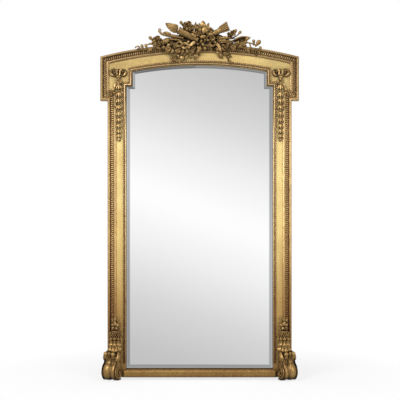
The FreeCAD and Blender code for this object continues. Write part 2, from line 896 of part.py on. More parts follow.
def hanger_plate():
    """Iron plate let into the back of the right stile, rolled into a knuckle at its top."""
    flat = block(
        "hanger_flat",
        "hanger_across - hanger_width / 2",
        "hanger_across + hanger_width / 2",
        "hanger_face",
        "recess_depth",
        "hanger_up - hanger_length",
        "hanger_up",
    )
    left = "hanger_across - knuckle_length / 2"
    roll = along_x("knuckle", "ring_wire + knuckle_play + knuckle_wall", left, "knuckle_length")
    bore = along_x("knuckle_bore", "ring_wire + knuckle_play", left, "knuckle_length")
    return without("hanger_bored", together("hanger_rolled", flat, roll), bore, plate_screws)


def hanger_ring():
    """Wire ring hanging from the knuckle: a straight bar, two sides and a round end."""
    half = size("ring_half")
    corner = size("ring_corner")
    drop = size("ring_drop")
    slant = corner * math.sqrt(0.5)
    centre = point(size("hanger_across"), size("hanger_pivot"), size("hanger_up"))

    def spot(across, up):
        return centre + FreeCAD.Vector(across, 0, up)

    def line(start, finish):
        return Part.LineSegment(spot(*start), spot(*finish)).toShape()

    def arc(start, middle, finish):
        return Part.Arc(spot(*start), spot(*middle), spot(*finish)).toShape()

    bar_end = half - corner
    bend = (bar_end + slant, slant - corner)
    edges = [
        line((0, 0), (bar_end, 0)),
        arc((bar_end, 0), bend, (half, -corner)),
        line((half, -corner), (half, -drop)),
        arc((half, -drop), (0, -drop - half), (-half, -drop)),
        line((-half, -drop), (-half, -corner)),
        arc((-half, -corner), (-bend[0], bend[1]), (-bar_end, 0)),
        line((-bar_end, 0), (0, 0)),
    ]
    section = Part.Wire(Part.Circle(centre, FreeCAD.Vector(1, 0, 0), size("ring_wire")).toShape())
    return carved("hanger_wire", Part.Wire(edges).makePipeShell([section], True, False))


keep_pair("hanger_plate", hanger_plate())
keep_pair("hanger_ring", hanger_ring())
keep("hanger_screws", plate_screws)


# Crest

def crest_ground():
    """Carved block that stands on the head rail and carries the trophy."""
    corners = [("-ground_half", "ground_low"), ("ground_half", "ground_low")]
    arcs = {0: ("outer_radius", -1), 1: ("ground_radius", 1)}
    body = panel("ground", corners, arcs, None, "band_top")
    cut_panel(body, BRACE, {}, None, "brace_thick")
    return without("ground_bored", body, brace_screws)


def crest_brace():
    """Batten let into the backs of the head rail and the crest."""
    return without("brace_bored", panel("brace", BRACE, {}, None, "brace_thick"), brace_screws)


def turned(name, corners, low_end, tilt):
    """A turned piece, its half profile given out from the axis and along it, laid over by a tilt."""
    body = doc.addObject("PartDesign::Body", name)
    sketch = upright_sketch(body, corners, {}, None)
    turn = body.newObject("PartDesign::Revolution", "Turning")
    turn.Profile = sketch
    turn.ReferenceAxis = (sketch, ["V_Axis"])
    turn.Angle = 360
    across, up = low_end
    bind(body, Placement__Rotation__Angle=tilt, Placement__Base__y="-(band_top + trophy_height)")
    body.Placement.Rotation.Axis = FreeCAD.Vector(0, 1, 0)
    bind(body, Placement__Base__x=f"{across}", Placement__Base__z=f"crown + {up}")
    doc.recompute()
    return body


TORCH_LOW_END = (-13, 32)
QUIVER_LOW_END = (50, 50)


def quiver_far_end():
    """Where the quiver's ring ends and the arrows come out."""
    angle = math.radians(size("quiver_tilt"))
    length = size("quiver_length")
    return (QUIVER_LOW_END[0] + length * math.sin(angle), QUIVER_LOW_END[1] + length * math.cos(angle))


def trophy():
    """Crossed torch and quiver, each flat where it lies against the crest's ground."""
    flat = carved("trophy_flat", behind(size("band_top")))
    torch = turned(
        "torch",
        [
            (None, None),
            ("torch_low_radius", None),
            ("torch_neck_radius", "torch_cup_start"),
            ("torch_cup_radius", "torch_cup_start"),
            ("torch_cup_radius", "torch_length"),
            (None, "torch_length"),
        ],
        TORCH_LOW_END,
        "-torch_tilt",
    )
    quiver = turned(
        "quiver",
        [
            (None, None),
            ("quiver_low_radius", None),
            ("arrow_ring_radius", "quiver_ring_start"),
            ("quiver_ring_radius", "quiver_ring_start"),
            ("quiver_ring_radius", "quiver_length"),
            (None, "quiver_length"),
        ],
        QUIVER_LOW_END,
        "quiver_tilt",
    )
    arrows = turned(
        "arrows",
        [(None, None), ("arrow_ring_radius", None), ("arrow_radius", "arrow_length"), (None, "arrow_length")],
        quiver_far_end(),
        "quiver_tilt",
    )
    torch_cut = without("torch_flat", torch, flat)
    quiver_cut = without("quiver_flat", quiver, flat)
    arrows_cut = without("arrows_flat", arrows, flat)
    doc.recompute()
    return torch_cut, quiver_cut, arrows_cut


FLAME_TONGUES = [
    # base, tip, width
    ((-110, 78), (-188, 112), 44),
    ((-116, 92), (-146, 120), 20),
    ((-122, 70), (-166, 80), 24),
]


def crown_leaves(leaves, thick):
    """Leaves given from the crown of the head, flat on the plane of the outer band."""
    return [leaf(*on_crown([base, tip]), width, size("band_top"), thick) for base, tip, width in leaves]


def torch_flame(torch):
    """Flame at the torch's cup, leaf shaped."""
    shapes = crown_leaves(FLAME_TONGUES, size("petal_thick"))
    return carved("flame", fused(shapes).cut(torch.Shape))


BOUQUET_BLOOMS = [
    # across, up from the crown, radius, rise
    (-101, 118, 12, 12),
    (-63, 100, 30, 30),
    (20, 86, 36, 40),
    (-4, 48, 40, 26),
    (40, 108, 16, 22),
    (14, 112, 14, 24),
    (24, 4, 30, 20),
]
BOUQUET_LEAVES = [
    # base, tip, width
    ((-26, 80), (-24, 120), 16),
    ((40, 80), (70, 82), 22),
    ((10, 92), (16, 130), 20),
    ((34, 96), (48, 122), 18),
    ((-84, 104), (-104, 116), 12),
    ((4, 92), (-12, 118), 16),
]


def bouquet(*neighbours):
    """Flowers and leaves over the crossing of torch and quiver."""
    back = size("band_top")
    crown = size("crown")
    shapes = [bloom(across, up + crown, radius, back, rise) for across, up, radius, rise in BOUQUET_BLOOMS]
    shape = fused(shapes + crown_leaves(BOUQUET_LEAVES, size("petal_thick")))
    for neighbour in neighbours:
        shape = shape.cut(neighbour.Shape)
    return shape


RIBBON_LOOPS = [
    # across, up from the crown, radius
    (-106, 2, 18),
    (-85, -8, 17),
    (72, 2, 18),
]
RIBBON_TAILS = [
    # base, tip, width
    ((-22, 22), (-84, -22), 24),
    ((-100, -4), (-130, -36), 18),
    ((66, 12), (122, -26), 24),
    ((84, 4), (140, 30), 24),
    ((60, -8), (40, -40), 18),
]


def ribbon(*neighbours):
    """Loops and tails of the ribbon that ties the trophy."""
    back = size("band_top")
    crown = size("crown")
    width = size("ribbon_loop_width")
    thick = size("ribbon_loop_thick")
    shapes = [loop(across, up + crown, radius, width, back, thick) for across, up, radius in RIBBON_LOOPS]
    shape = fused(shapes + crown_leaves(RIBBON_TAILS, size("spray_thick")))
    for neighbour in neighbours:
        shape = shape.cut(neighbour.Shape)
    return shape


ROSE = (-230, 15, 27, 30)
ROSE_LEAVES = [
    # base, tip, width
    ((-224, -2), (-216, -40), 20),
    ((-242, 4), (-246, -38), 16),
    ((-216, 0), (-180, -42), 22),
    ((-232, 30), (-226, 46), 12),
]
ROSE_STALK = [(-230, 18), (-222, 38), (-206, 54)]
ROSE_TAIL = [(-88, 33), (-140, 46), (-190, 54), (-212, 54), (-226, 66), (-227, 80), (-214, 86)]


def rose(*neighbours):
    """The large rose on the left with its leaves, and the curled tail above it."""
    back = size("band_top")
    crown = size("crown")
    across, up, radius, rise = ROSE
    shapes = [bloom(across, up + crown, radius, back, rise)]
    shapes += crown_leaves(ROSE_LEAVES, size("spray_thick"))
    shapes.append(stem(on_crown(ROSE_STALK), size("stalk_radius"), back))
    shapes.append(stem(on_crown(ROSE_TAIL), size("tail_radius"), back))
    shape = fused(shapes)
    for neighbour in neighbours:
        shape = shape.cut(neighbour.Shape)
    return shape


LEFT_STEM = [(-244, -26), (-270, -27), (-300, -30), (-340, -36)]
LEFT_LEAVES = [
    # base, tip, width
    ((-262, -25), (-278, 34), 15),
    ((-284, -26), (-300, 4), 12),
    ((-308, -28), (-324, -2), 12),
    ((-328, -32), (-350, -12), 12),
    ((-334, -36), (-363, -36), 12),
    ((-270, -26), (-258, -50), 13),
    ((-300, -28), (-312, -50), 12),
    ((-254, -26), (-246, -52), 12),
]
RIGHT_STEM = [(150, -10), (200, -14), (240, -18), (280, -24), (322, -34)]
RIGHT_TWIGS = [
    [(176, -12), (182, 30), (179, 56)],
    [(196, -14), (208, 44), (222, 62)],
    [(246, -18), (258, 14), (268, 32)],
]
RIGHT_LEAVES = [
    # base, tip, width
    ((190, 60), (202, 80), 14),
    ((214, 52), (230, 74), 18),
    ((202, 20), (250, 36), 26),
    ((256, 10), (280, 40), 14),
    ((276, -22), (298, 20), 15),
    ((296, -28), (326, 18), 15),
    ((316, -33), (340, -10), 12),
    ((316, -33), (342, -40), 12),
    ((290, -26), (308, -58), 14),
    ((166, -10), (186, -34), 24),
]
RIGHT_BLOOM = (179, 57, 21, 24)


def spray(main_stem, twigs, leaves):
    """A spray of leaves and buds that lies on the outer band."""
    radius = size("stalk_radius")
    shapes = [stem(on_crown(route), radius, size("band_top")) for route in [main_stem] + twigs]
    return shapes + crown_leaves(leaves, size("spray_thick"))


def right_spray(*neighbours):
    """Right-hand spray with its open flower."""
    across, up, radius, rise = RIGHT_BLOOM
    shapes = spray(RIGHT_STEM, RIGHT_TWIGS, RIGHT_LEAVES)
    shapes.append(bloom(across, up + size("crown"), radius, size("band_top"), rise))
    shape = fused(shapes)
    for neighbour in neighbours:
        shape = shape.cut(neighbour.Shape)
    return shape


LEFT_DROP_BLOOMS = [
    # across, up from the crown, radius, rise
    (-146, -76, 22, 20),
    (-98, -73, 15, 16),
]
LEFT_DROP_LEAVES = [
    # base, tip, width
    ((-112, -72), (-58, -56), 18),
    ((-76, -64), (-18, -62), 20),
    ((-136, -80), (-96, -78), 14),
]
RIGHT_DROP_BLOOMS = [
    (140, -60, 14, 16),
]
RIGHT_DROP_LEAVES = [
    ((138, -52), (112, -82), 26),
    ((142, -56), (170, -92), 18),
    ((140, -60), (184, -60), 16),
]


def flower_drop(blooms, leaves, *strips):
    """Flowers that hang over the flat of the head, fitted between its mouldings."""
    back = size("core_thick")
    crown = size("crown")
    shapes = [bloom(across, up + crown, radius, back, rise) for across, up, radius, rise in blooms]
    for base, tip, width in leaves:
        shapes.append(leaf(*on_crown([base, tip]), width, back, size("drop_leaf_thick")))
    shape = fused(shapes)
    for strip in strips:
        shape = shape.cut(strip.Shape)
    return shape


def crest():
    """Every piece of the crest, each fitted round the pieces it meets."""
    keep("crest_ground", crest_ground())
    keep("crest_brace", crest_brace())
    keep("brace_screws", brace_screws)
    torch, quiver, arrows = trophy()
    keep("crest_torch", torch)
    keep("crest_quiver", quiver)
    keep("crest_arrows", arrows)
    keep("torch_flame", torch_flame(torch))
    flowers = carved("bouquet", bouquet(torch, quiver, arrows, nodes["torch_flame"]))
    keep("crest_bouquet", flowers)
    bow = carved("ribbon", ribbon(torch, quiver, flowers))
    keep("crest_ribbon", bow)
    big_rose = carved("rose", rose(torch, bow))
    keep("crest_rose", big_rose)
    left = carved("left_sprig", fused(spray(LEFT_STEM, [], LEFT_LEAVES)).cut(big_rose.Shape).cut(bow.Shape))
    keep("left_spray", left)
    keep("right_spray", carved("right_sprig", right_spray(arrows, quiver, bow)))
    strips = (nodes["head_leaf_strip"], nodes["head_bead_strip"])
    keep("left_flower_drop", carved("left_drop", flower_drop(LEFT_DROP_BLOOMS, LEFT_DROP_LEAVES, *strips)))
    right_drop = flower_drop(RIGHT_DROP_BLOOMS, RIGHT_DROP_LEAVES, *strips)
    keep("right_flower_drop", carved("right_drop", right_drop))


crest()


# Bows and husks

def bow_across():
    """The middle of the flat between the ear's fillet and the sight ear's beads."""
    return (size("fillet_ear") + size("bead_out_ear_half")) / 2


def between_strips(shape):
    """A carving on the right-hand flat, fitted between the mouldings on either side of it."""
    return shape.cut(nodes["right_leaf_strip"].Shape).cut(nodes["right_bead_strip"].Shape)


def bow():
    """Ribbon bow on the flat of the right ear: two loops, a knot and two tails."""
    back = size("core_thick")
    thick = size("bow_thick")
    radius = size("bow_loop_radius")
    width = size("bow_loop_width")
    across = bow_across()
    up = size("sight_step") + size("bow_above_step")
    knot_up = up - size("knot_drop")
    shapes = [loop(across + side * radius * 0.85, up, radius, width, back, thick) for side in (-1, 1)]
    shapes.append(bloom(across, knot_up, size("knot_radius"), back, size("knot_rise")))
    for side in (-1, 1):
        tip = (across + side * radius * 0.9, knot_up - radius)
        shapes.append(leaf((across, knot_up), tip, width, back, thick))
    return carved("bow_right", between_strips(fused(shapes)))


def husk_drop(neighbour):
    """String of husks down the flat of the right stile, each a little smaller than the last."""
    back = size("core_thick")
    across = (size("fillet_stile") + size("bead_out_half")) / 2
    up = size("sight_step") + size("bow_above_step") - size("knot_drop") - size("husk_first_drop")
    count = int(size("husk_count"))
    pitch = size("husk_pitch")
    top_radius = size("husk_radius")
    last_radius = size("husk_tip_radius")
    stalk = [(bow_across(), up + 2 * pitch), (bow_across(), up + pitch), (across, up)]
    shapes = [stem(stalk, size("stalk_radius"), back)]
    for number in range(count):
        radius = top_radius + (last_radius - top_radius) * number / (count - 1)
        top = up - number * pitch
        ends = [(across, top + size("husk_lap")), (across, top - pitch)]
        shapes.append(leaf(*ends, radius * 2, back, size("husk_thick") * radius / top_radius))
    shape = between_strips(fused(shapes).cut(neighbour.Shape))
    return carved("husks_right", shape)


right_bow = bow()
keep_pair("bow", right_bow)
keep_pair("husk_drop", husk_drop(right_bow))


# Feet

def foot_scroll():
    """Right console: a volute on the floor, a hollow front and a waist, turned outwards by its cant."""
    width = size("foot_width")
    radius = size("volute_radius")
    front = size("volute_front")
    high = size("volute_high")
    waist = size("scroll_waist")
    top = size("scroll_height")
    reach = size("volute_out") + radius

    def spot(out, up):
        return FreeCAD.Vector(out, -width / 2, up)

    hollow = size("scroll_hollow")
    start, finish = spot(front, high), spot(waist, top)
    chord = finish - start
    sag = hollow - math.sqrt(hollow ** 2 - (chord.Length / 2) ** 2)
    inward = FreeCAD.Vector(-chord.z, 0, chord.x) * (sag / chord.Length)
    hollow_middle = (start + finish) * 0.5 + inward
    edges = [
        Part.LineSegment(spot(-reach, 0), spot(0, 0)).toShape(),
        Part.Arc(spot(0, 0), spot(radius, radius), start).toShape(),
        Part.Arc(start, hollow_middle, finish).toShape(),
        Part.LineSegment(finish, spot(-reach, top)).toShape(),
        Part.LineSegment(spot(-reach, top), spot(-reach, 0)).toShape(),
    ]
    shape = Part.Face(Part.Wire(edges)).extrude(FreeCAD.Vector(0, width, 0))
    shape.rotate(FreeCAD.Vector(), FreeCAD.Vector(0, 0, 1), size("foot_cant") - 90)
    axis_height = size("core_thick") + size("volute_out")
    shape.translate(point(size("stile_half") - size("foot_inset"), axis_height, size("floor")))
    return carved("scroll_right", shape.cut(behind(size("core_thick"))))


def upright_cone(name, low_radius, high_radius, low, height):
    """A round tapered piece on the foot's upright axis."""
    cone = doc.addObject("Part::Cone", name)
    bind(
        cone,
        Radius1=low_radius,
        Radius2=high_radius,
        Height=height,
        Placement__Base__x="stile_half - cup_inset",
        Placement__Base__y="-(core_thick + cup_out)",
        Placement__Base__z=low,
    )
    return cone


def foot_pieces():
    """Acanthus neck, cup and flowers that stand on the right console, fitted round the leaf strip."""
    wall = carved("foot_wall", behind(size("core_thick")))
    fitted = (wall, nodes["right_leaf_strip"], nodes["right_outer_band"])
    neck_low = "floor + scroll_height"
    neck = upright_cone("neck", "neck_low_radius", "neck_radius", neck_low, "neck_height")
    keep_pair("foot_leaf", without("neck_fitted", neck, *fitted))
    cup_low = "floor + scroll_height + neck_height"
    rim_top = "cup_rim_radius - cup_rim_taper"
    rim = upright_cone("cup_rim", "cup_rim_radius", rim_top, cup_low, "cup_rim_height")
    side = upright_cone(
        "cup_side", "neck_radius", "cup_radius", f"{cup_low} + cup_rim_height", "cup_height - cup_rim_height"
    )
    keep_pair("foot_cup", without("cup_fitted", together("cup", rim, side), *fitted))
    keep_pair("foot_flowers", carved("foot_bunch", foot_flowers()))


FOOT_BLOOMS = [
    # across from the cup, up from its rim, radius, rise
    (0, 21.5, 20, 18),
    (-4, 42, 17, 15),
    (15, 20, 12, 10),
    (-15, 18, 13, 11),
]
FOOT_LEAVES = [
    # base, tip, width
    ((0, 34), (4, 72), 18),
    ((-8, 30), (-26, 54), 16),
    ((8, 20), (24, 44), 14),
]


def foot_flowers():
    """Flowers and leaf tips that stand on the cup, in front of the outer band."""
    across = size("stile_half") - size("cup_inset")
    up = size("floor") + size("scroll_height") + size("neck_height") + size("cup_height")
    back = size("band_top")
    shapes = []
    for aside, lift, radius, rise in FOOT_BLOOMS:
        shapes.append(bloom(across + aside, up + lift, radius, back, rise))
    for base, tip, width in FOOT_LEAVES:
        ends = [(across + aside, up + lift) for aside, lift in (base, tip)]
        shapes.append(leaf(*ends, width, back, size("petal_thick")))
    width = size("bunch_width")
    seat = point(across - width / 2, back + size("petal_thick"), up)
    shapes.append(Part.makeBox(width, size("petal_thick"), size("bunch_seat"), seat))
    return fused(shapes)


keep_pair("foot_scroll", foot_scroll())
foot_pieces()


# Check every object, then write each sub-part to its own file
doc.recompute()
for item in doc.Objects:
    if "Invalid" in item.State or "Error" in item.State:
        raise RuntimeError(f"{item.Label} failed: {item.State}")
for name, piece in nodes.items():
    if piece.Shape.isNull() or not piece.Shape.isValid() or not piece.Shape.Solids:
        raise RuntimeError(f"{name} is not a sound solid")
os.makedirs("parts", exist_ok=True)
for name, piece in nodes.items():
    piece.Shape.exportStep(f"parts/{name}.step")
print(f"{len(nodes)} sub-parts written")
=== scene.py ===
import math

import bpy
from mathutils import Euler, Matrix, Vector


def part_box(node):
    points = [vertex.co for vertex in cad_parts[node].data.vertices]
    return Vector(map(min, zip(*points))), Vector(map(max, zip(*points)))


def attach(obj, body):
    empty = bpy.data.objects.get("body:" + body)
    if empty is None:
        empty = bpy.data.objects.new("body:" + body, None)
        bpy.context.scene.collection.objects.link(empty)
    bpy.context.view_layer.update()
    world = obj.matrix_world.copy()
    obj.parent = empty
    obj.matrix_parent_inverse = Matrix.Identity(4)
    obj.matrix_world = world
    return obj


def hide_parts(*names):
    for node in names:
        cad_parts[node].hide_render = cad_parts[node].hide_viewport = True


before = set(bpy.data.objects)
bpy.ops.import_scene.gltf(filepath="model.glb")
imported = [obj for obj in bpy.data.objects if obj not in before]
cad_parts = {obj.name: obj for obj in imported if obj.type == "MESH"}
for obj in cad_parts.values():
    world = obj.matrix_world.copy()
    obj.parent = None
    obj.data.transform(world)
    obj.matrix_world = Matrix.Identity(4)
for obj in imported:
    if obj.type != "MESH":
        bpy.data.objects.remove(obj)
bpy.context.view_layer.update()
scene = bpy.context.scene
MM = 0.001


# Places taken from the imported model, in millimetres
def span(node):
    """Left, right, front, low and high of a sub-part; front is measured out from the wall."""
    low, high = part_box(node)
    return {
        "left": low.x / MM,
        "right": high.x / MM,
        "front": -low.y / MM,
        "low": low.z / MM,
        "high": high.z / MM,
    }


SIDE_BAND = span("right_outer_band")
HEAD_BAND = span("head_outer_band")
SIDE_BEADS = span("right_bead_strip")
EAR_BLOCK = span("right_corner_block")
STILE = span("right_stile")
SCROLL = span("right_foot_scroll")
NECK = span("right_foot_leaf")
CUP = span("right_foot_cup")
PLATE = span("mirror_plate")

CROWN = HEAD_BAND["high"]
EAR_EDGE = HEAD_BAND["right"]
EAR_BASE = EAR_BLOCK["low"]
STILE_EDGE = STILE["right"]
SIGHT_EDGE = STILE["left"]
EAR_SIGHT = EAR_BLOCK["left"]
FLAT = STILE["front"]
FLOOR = SCROLL["low"]

# The arch springs from the ears' top corners, so its radius follows from its width and rise
ARCH_RISE = CROWN - SIDE_BAND["high"]
ARCH_RADIUS = (EAR_EDGE ** 2 + ARCH_RISE ** 2) / (2 * ARCH_RISE)
ARCH_CENTRE = CROWN - ARCH_RADIUS

# The mouldings: widths in from the outer edge or out from the sight edge, pitches, and how far out they stand
BAND_WIDTH = 13
LEAF_WIDTH = 21
TONGUE_PITCH = 11.2
TONGUE_FRONT = 43.4
BEAD_MIDDLE = 18.4
BEAD_PITCH = 10.8
BEAD_RADIUS = 4.4
BEAD_SEAT = 2
BEAD_FRONT = 44.8

# The sight edge: its arch under the crown, and the height of its step at the shoulders
SIGHT_DROP = 113.8
SIGHT_RADIUS = ARCH_RADIUS - SIGHT_DROP
SIGHT_STEP = 1589.5


def at(across, front, up):
    """A point of the mirror, in millimetres: across from the middle, out from the wall, up."""
    return Vector((across, -front, up)) * MM


# The camera stands square in front, six metres from the flat of the frame
VIEW_DISTANCE = 6000
VIEW_WIDTH = 2200
VIEW_ACROSS = 2.2
VIEW_UP = 961.7


def make_camera():
    data = bpy.data.cameras.new("camera")
    data.sensor_width = 36
    data.lens = data.sensor_width * VIEW_DISTANCE / VIEW_WIDTH
    camera = bpy.data.objects.new("camera", data)
    camera.location = at(VIEW_ACROSS, VIEW_DISTANCE + FLAT, VIEW_UP)
    camera.rotation_euler = (math.radians(90), 0, 0)
    scene.collection.objects.link(camera)
    scene.camera = camera


# Finishes
def put(tree, kind, sockets=None, **settings):
    """A node with its settings and its sockets filled, by value or by link."""
    made = tree.nodes.new(kind)
    for name, value in settings.items():
        setattr(made, name, value)
    for name, value in (sockets or {}).items():
        if isinstance(value, bpy.types.NodeSocket):
            tree.links.new(value, made.inputs[name])
        else:
            made.inputs[name].default_value = value
    return made


def new_finish(name):
    """An empty finish, its nodes and the coordinates of whatever wears it."""
    finish = bpy.data.materials.new(name)
    finish.use_nodes = True
    tree = finish.node_tree
    tree.nodes.clear()
    return finish, tree, put(tree, "ShaderNodeTexCoord").outputs


def coat(finish, shader):
    """The finish, ended by the shader that it shows."""
    put(finish.node_tree, "ShaderNodeOutputMaterial", {"Surface": shader.outputs[0]})
    return finish


def work(tree, kind, *values):
    """A sum over values or sockets, by the name of its kind."""
    return put(tree, "ShaderNodeMath", dict(enumerate(values)), operation=kind).outputs[0]


def apart(tree, vector):
    """The three parts of a vector, by their names."""
    return put(tree, "ShaderNodeSeparateXYZ", {"Vector": vector}).outputs


def spread(tree, value, first, last, low=0):
    """A value between first and last, carried to between low and one."""
    sockets = {"Value": value, "From Min": first, "From Max": last, "To Min": low}
    return put(tree, "ShaderNodeMapRange", sockets).outputs["Result"]


def mix_colours(tree, share, first, second, way="MIX"):
    """One colour over another; in a node of this kind the colours are sockets 6 and 7."""
    first, second = [(*colour, 1) if isinstance(colour, tuple) else colour for colour in (first, second)]
    mixed = put(tree, "ShaderNodeMix", {0: share, 6: first, 7: second}, data_type="RGBA", blend_type=way)
    return mixed.outputs[2]


def mix_shaders(tree, share, first, second):
    return put(tree, "ShaderNodeMixShader", {0: share, 1: first.outputs[0], 2: second.outputs[0]})


def ramp(tree, value, *stops):
    """A value spread over colour stops, each a place and a grey or a colour."""
    made = put(tree, "ShaderNodeValToRGB", {"Fac": value})
    marks = made.color_ramp.elements
    while len(marks) < len(stops):
        marks.new(0.5)
    for mark, (place, colour) in zip(marks, stops):
        mark.position = place
        if isinstance(colour, (int, float)):
            colour = (colour, colour, colour)
        mark.color = (*colour, 1)
    return made.outputs["Color"]


def noise(tree, place, scale, detail=4, stretch=None):
    if stretch is not None:
        place = put(tree, "ShaderNodeMapping", {"Vector": place, "Scale": stretch}).outputs["Vector"]
    made = put(tree, "ShaderNodeTexNoise", {"Vector": place, "Scale": scale, "Detail": detail})
    return made.outputs["Fac"]


RED_BOLE = (0.28, 0.105, 0.045)
# Near black: the hollows' patina and their painted shade
PATINA_AND_SHADE = (0.022, 0.012, 0.005)
PALE_PINE = (0.50, 0.34, 0.19)
DARK_PINE = (0.27, 0.165, 0.08)
TALL = 2000


def gold_tone(tree, place, bright, worn, mottled):
    """Gold leaf of uneven thickness: broad patches and a fine mottle between a bright and a worn tone."""
    patches = ramp(tree, noise(tree, place, 7), (0.34, 0), (0.7, 0.75))
    tone = mix_colours(tree, patches, bright, worn)
    mottle = ramp(tree, noise(tree, place, 85, 6), (0.45, 0), (0.75, mottled))
    return mix_colours(tree, mottle, tone, worn)


def with_patina(tree, tone, reach, depth, clean, shut):
    """Dark wax and dust left in the hollows, and painted shade there; reach is how wide a hollow counts, in
    millimetres.
    """
    open_share = put(tree, "ShaderNodeAmbientOcclusion", {"Distance": reach * MM}, samples=8)
    hollow = ramp(tree, open_share.outputs["AO"], (shut, depth), (clean, 0))
    return mix_colours(tree, hollow, tone, PATINA_AND_SHADE)


def height_of(tree, place):
    """How high a place is, as a share of two metres."""
    return work(tree, "DIVIDE", apart(tree, place)["Z"], TALL * MM)


def darker_below(tree, height, tone, head):
    """Painted shade: the gold is darkened and browned towards the foot, and by its own share towards the
    head, where the light falls off.
    """
    top = (head, head * 0.945, head * 0.89)
    under = tuple((1 + share) / 2 for share in top)
    height_shade = ramp(tree, height, (0.01, (0.335, 0.25, 0.17)), (0.05, (0.45, 0.355, 0.275)),
                 (0.2, (0.60, 0.49, 0.385)), (0.4, (0.97, 0.935, 0.87)), (0.48, 1), (0.66, 1),
                 (0.74, under), (0.84, top))
    return mix_colours(tree, 1, tone, height_shade, "MULTIPLY")


def gold_shader(tree, place, colour, shine, metal, rough):
    grain = noise(tree, place, 420, 3)
    gloss = ramp(tree, noise(tree, place, 46, 5), (0.3, shine), (0.75, shine + 0.14))
    bump = put(tree, "ShaderNodeBump", {"Height": grain, "Strength": rough, "Distance": 0.0006})
    return put(tree, "ShaderNodeBsdfPrincipled", {
        "Base Color": colour,
        "Metallic": metal,
        "Roughness": gloss,
        "Normal": bump.outputs["Normal"],
    })


def carved_gilding(name, bright, worn, reach, clean, head=None, shut=0.2):
    """Gold on carving: rubbed to the red bole on its ridges, dark in its hollows with patina and painted
    shade.
    """
    finish, tree, coords = new_finish(name)
    place = coords["Object"]
    tone = gold_tone(tree, place, bright, worn, 0.5)
    # Painted shade by height, when a head share is given
    if head:
        tone = darker_below(tree, height_of(tree, place), tone, head)
    edge = put(tree, "ShaderNodeNewGeometry").outputs["Pointiness"]
    ridge = ramp(tree, edge, (0.53, 0), (0.6, 1))
    rubbed = ramp(tree, noise(tree, place, 60), (0.55, 0), (0.7, 0.6))
    tone = mix_colours(tree, work(tree, "MULTIPLY", ridge, rubbed), tone, RED_BOLE)
    colour = with_patina(tree, tone, reach, 1, clean, shut)
    return coat(finish, gold_shader(tree, place, colour, 0.36, 0.75, 0.12))


def pine_shader(tree, place):
    grain = noise(tree, place, 26, 6, (6, 6, 0.35))
    rings = ramp(tree, grain, (0.35, 0), (0.65, 1))
    colour = mix_colours(tree, rings, PALE_PINE, DARK_PINE)
    stain = ramp(tree, noise(tree, place, 5), (0.45, 0), (0.75, 0.6))
    colour = mix_colours(tree, stain, colour, DARK_PINE)
    bump = put(tree, "ShaderNodeBump", {"Height": grain, "Strength": 0.25, "Distance": 0.0008})
    return put(tree, "ShaderNodeBsdfPrincipled", {
        "Base Color": colour,
        "Roughness": 0.72,
        "Normal": bump.outputs["Normal"],
    })


def streaks(tree, place, height):
    """Brush and burnisher marks: up and down on the stiles, from side to side on the head."""
    upright = noise(tree, place, 30, 3, (1, 1, 0.1))
    level = noise(tree, place, 34, 3, (0.08, 1, 1))
    on_head = ramp(tree, height, (0.835, 0), (0.85, 1))
    marks = mix_colours(tree, on_head, upright, level)
    return ramp(tree, marks, (0.45, 0), (0.78, 0.6))


# The share of its tone that the members' gold keeps at the head under painted shade, and where painted light
# brightens it right of the middle
SHADED_HEAD_SHARE = 0.56
LIT_HEAD_SHARE = 0.9


def member_gilding(name, bright, worn, streaked):
    """Frame members: burnished gold in front and at the sides, bare pine on the faces turned to the wall."""
    finish, tree, coords = new_finish(name)
    place = coords["Object"]
    height = height_of(tree, place)
    tone = gold_tone(tree, place, bright, worn, 0.06)
    tone = mix_colours(tree, streaks(tree, place, height), tone, streaked)
    # Painted light right of the head's middle, painted shade elsewhere at the head
    rightward = work(tree, "MULTIPLY_ADD", apart(tree, place)["X"], 1 / (2 * EAR_EDGE * MM), 0.5)
    lit_share = ramp(tree, rightward, (0.08, 0), (0.6, 1), (0.74, 1), (0.88, 0.2))
    shaded_tone = darker_below(tree, height, tone, SHADED_HEAD_SHARE)
    lit_tone = darker_below(tree, height, tone, LIT_HEAD_SHARE)
    # Flats darkened beside the raised mouldings: dust and painted shade
    colour = with_patina(tree, mix_colours(tree, lit_share, shaded_tone, lit_tone), 24, 0.95, 0.86, 0.2)
    gold = gold_shader(tree, place, colour, 0.24, 0.6, 0.04)
    behind = ramp(tree, apart(tree, coords["Normal"])["Y"], (0.45, 0), (0.55, 1))
    return coat(finish, mix_shaders(tree, behind, gold, pine_shader(tree, place)))


def bare_pine():
    finish, tree, coords = new_finish("bare_pine")
    return coat(finish, pine_shader(tree, coords["Object"]))


# The bevel stands out this far, in millimetres, where it leaves the frame and where it meets the flat
BEVEL_LOW = 29.69
BEVEL_HIGH = 31.27

# Its painted reflection greys, in metres from the plate's upright middle line and from half its height, and
# their tone there
BEVEL_TURN = 0.05
PLATE_MIDDLE = 0.95
BEVEL_GREY_START = 0.15
BEVEL_GREY_FULL = 0.6
BEVEL_GREY_TONE = 0.7

# Where the bevel's painted reflection runs on over the flat, in metres: out from the middle, under the
# shoulders and over the rail
BROAD_FROM = 0.3825
BROAD_UNDER = 1.5715
BROAD_OVER = (PLATE["low"] + 32.8) * MM
STILE_REFLECTION_GREY = (0.6, 0.605, 0.61)
RAIL_REFLECTION_GREY = (0.54, 0.545, 0.55)

# Along the rail the bevel faces downwards and is painted paler as a painted reflection, and a painted shadow
# darkens it at its lowest edge
RAIL_TILT = -0.05
DOWNWARD_REFLECTION_TONE = (1.35, 1.35, 1.35)
EDGE_SHADOW_UNDER = (PLATE["low"] + 14.5) * MM
EDGE_SHADOW_TONE = (0.34, 0.28, 0.24)
CLEAN_TONE = (1, 1, 1)


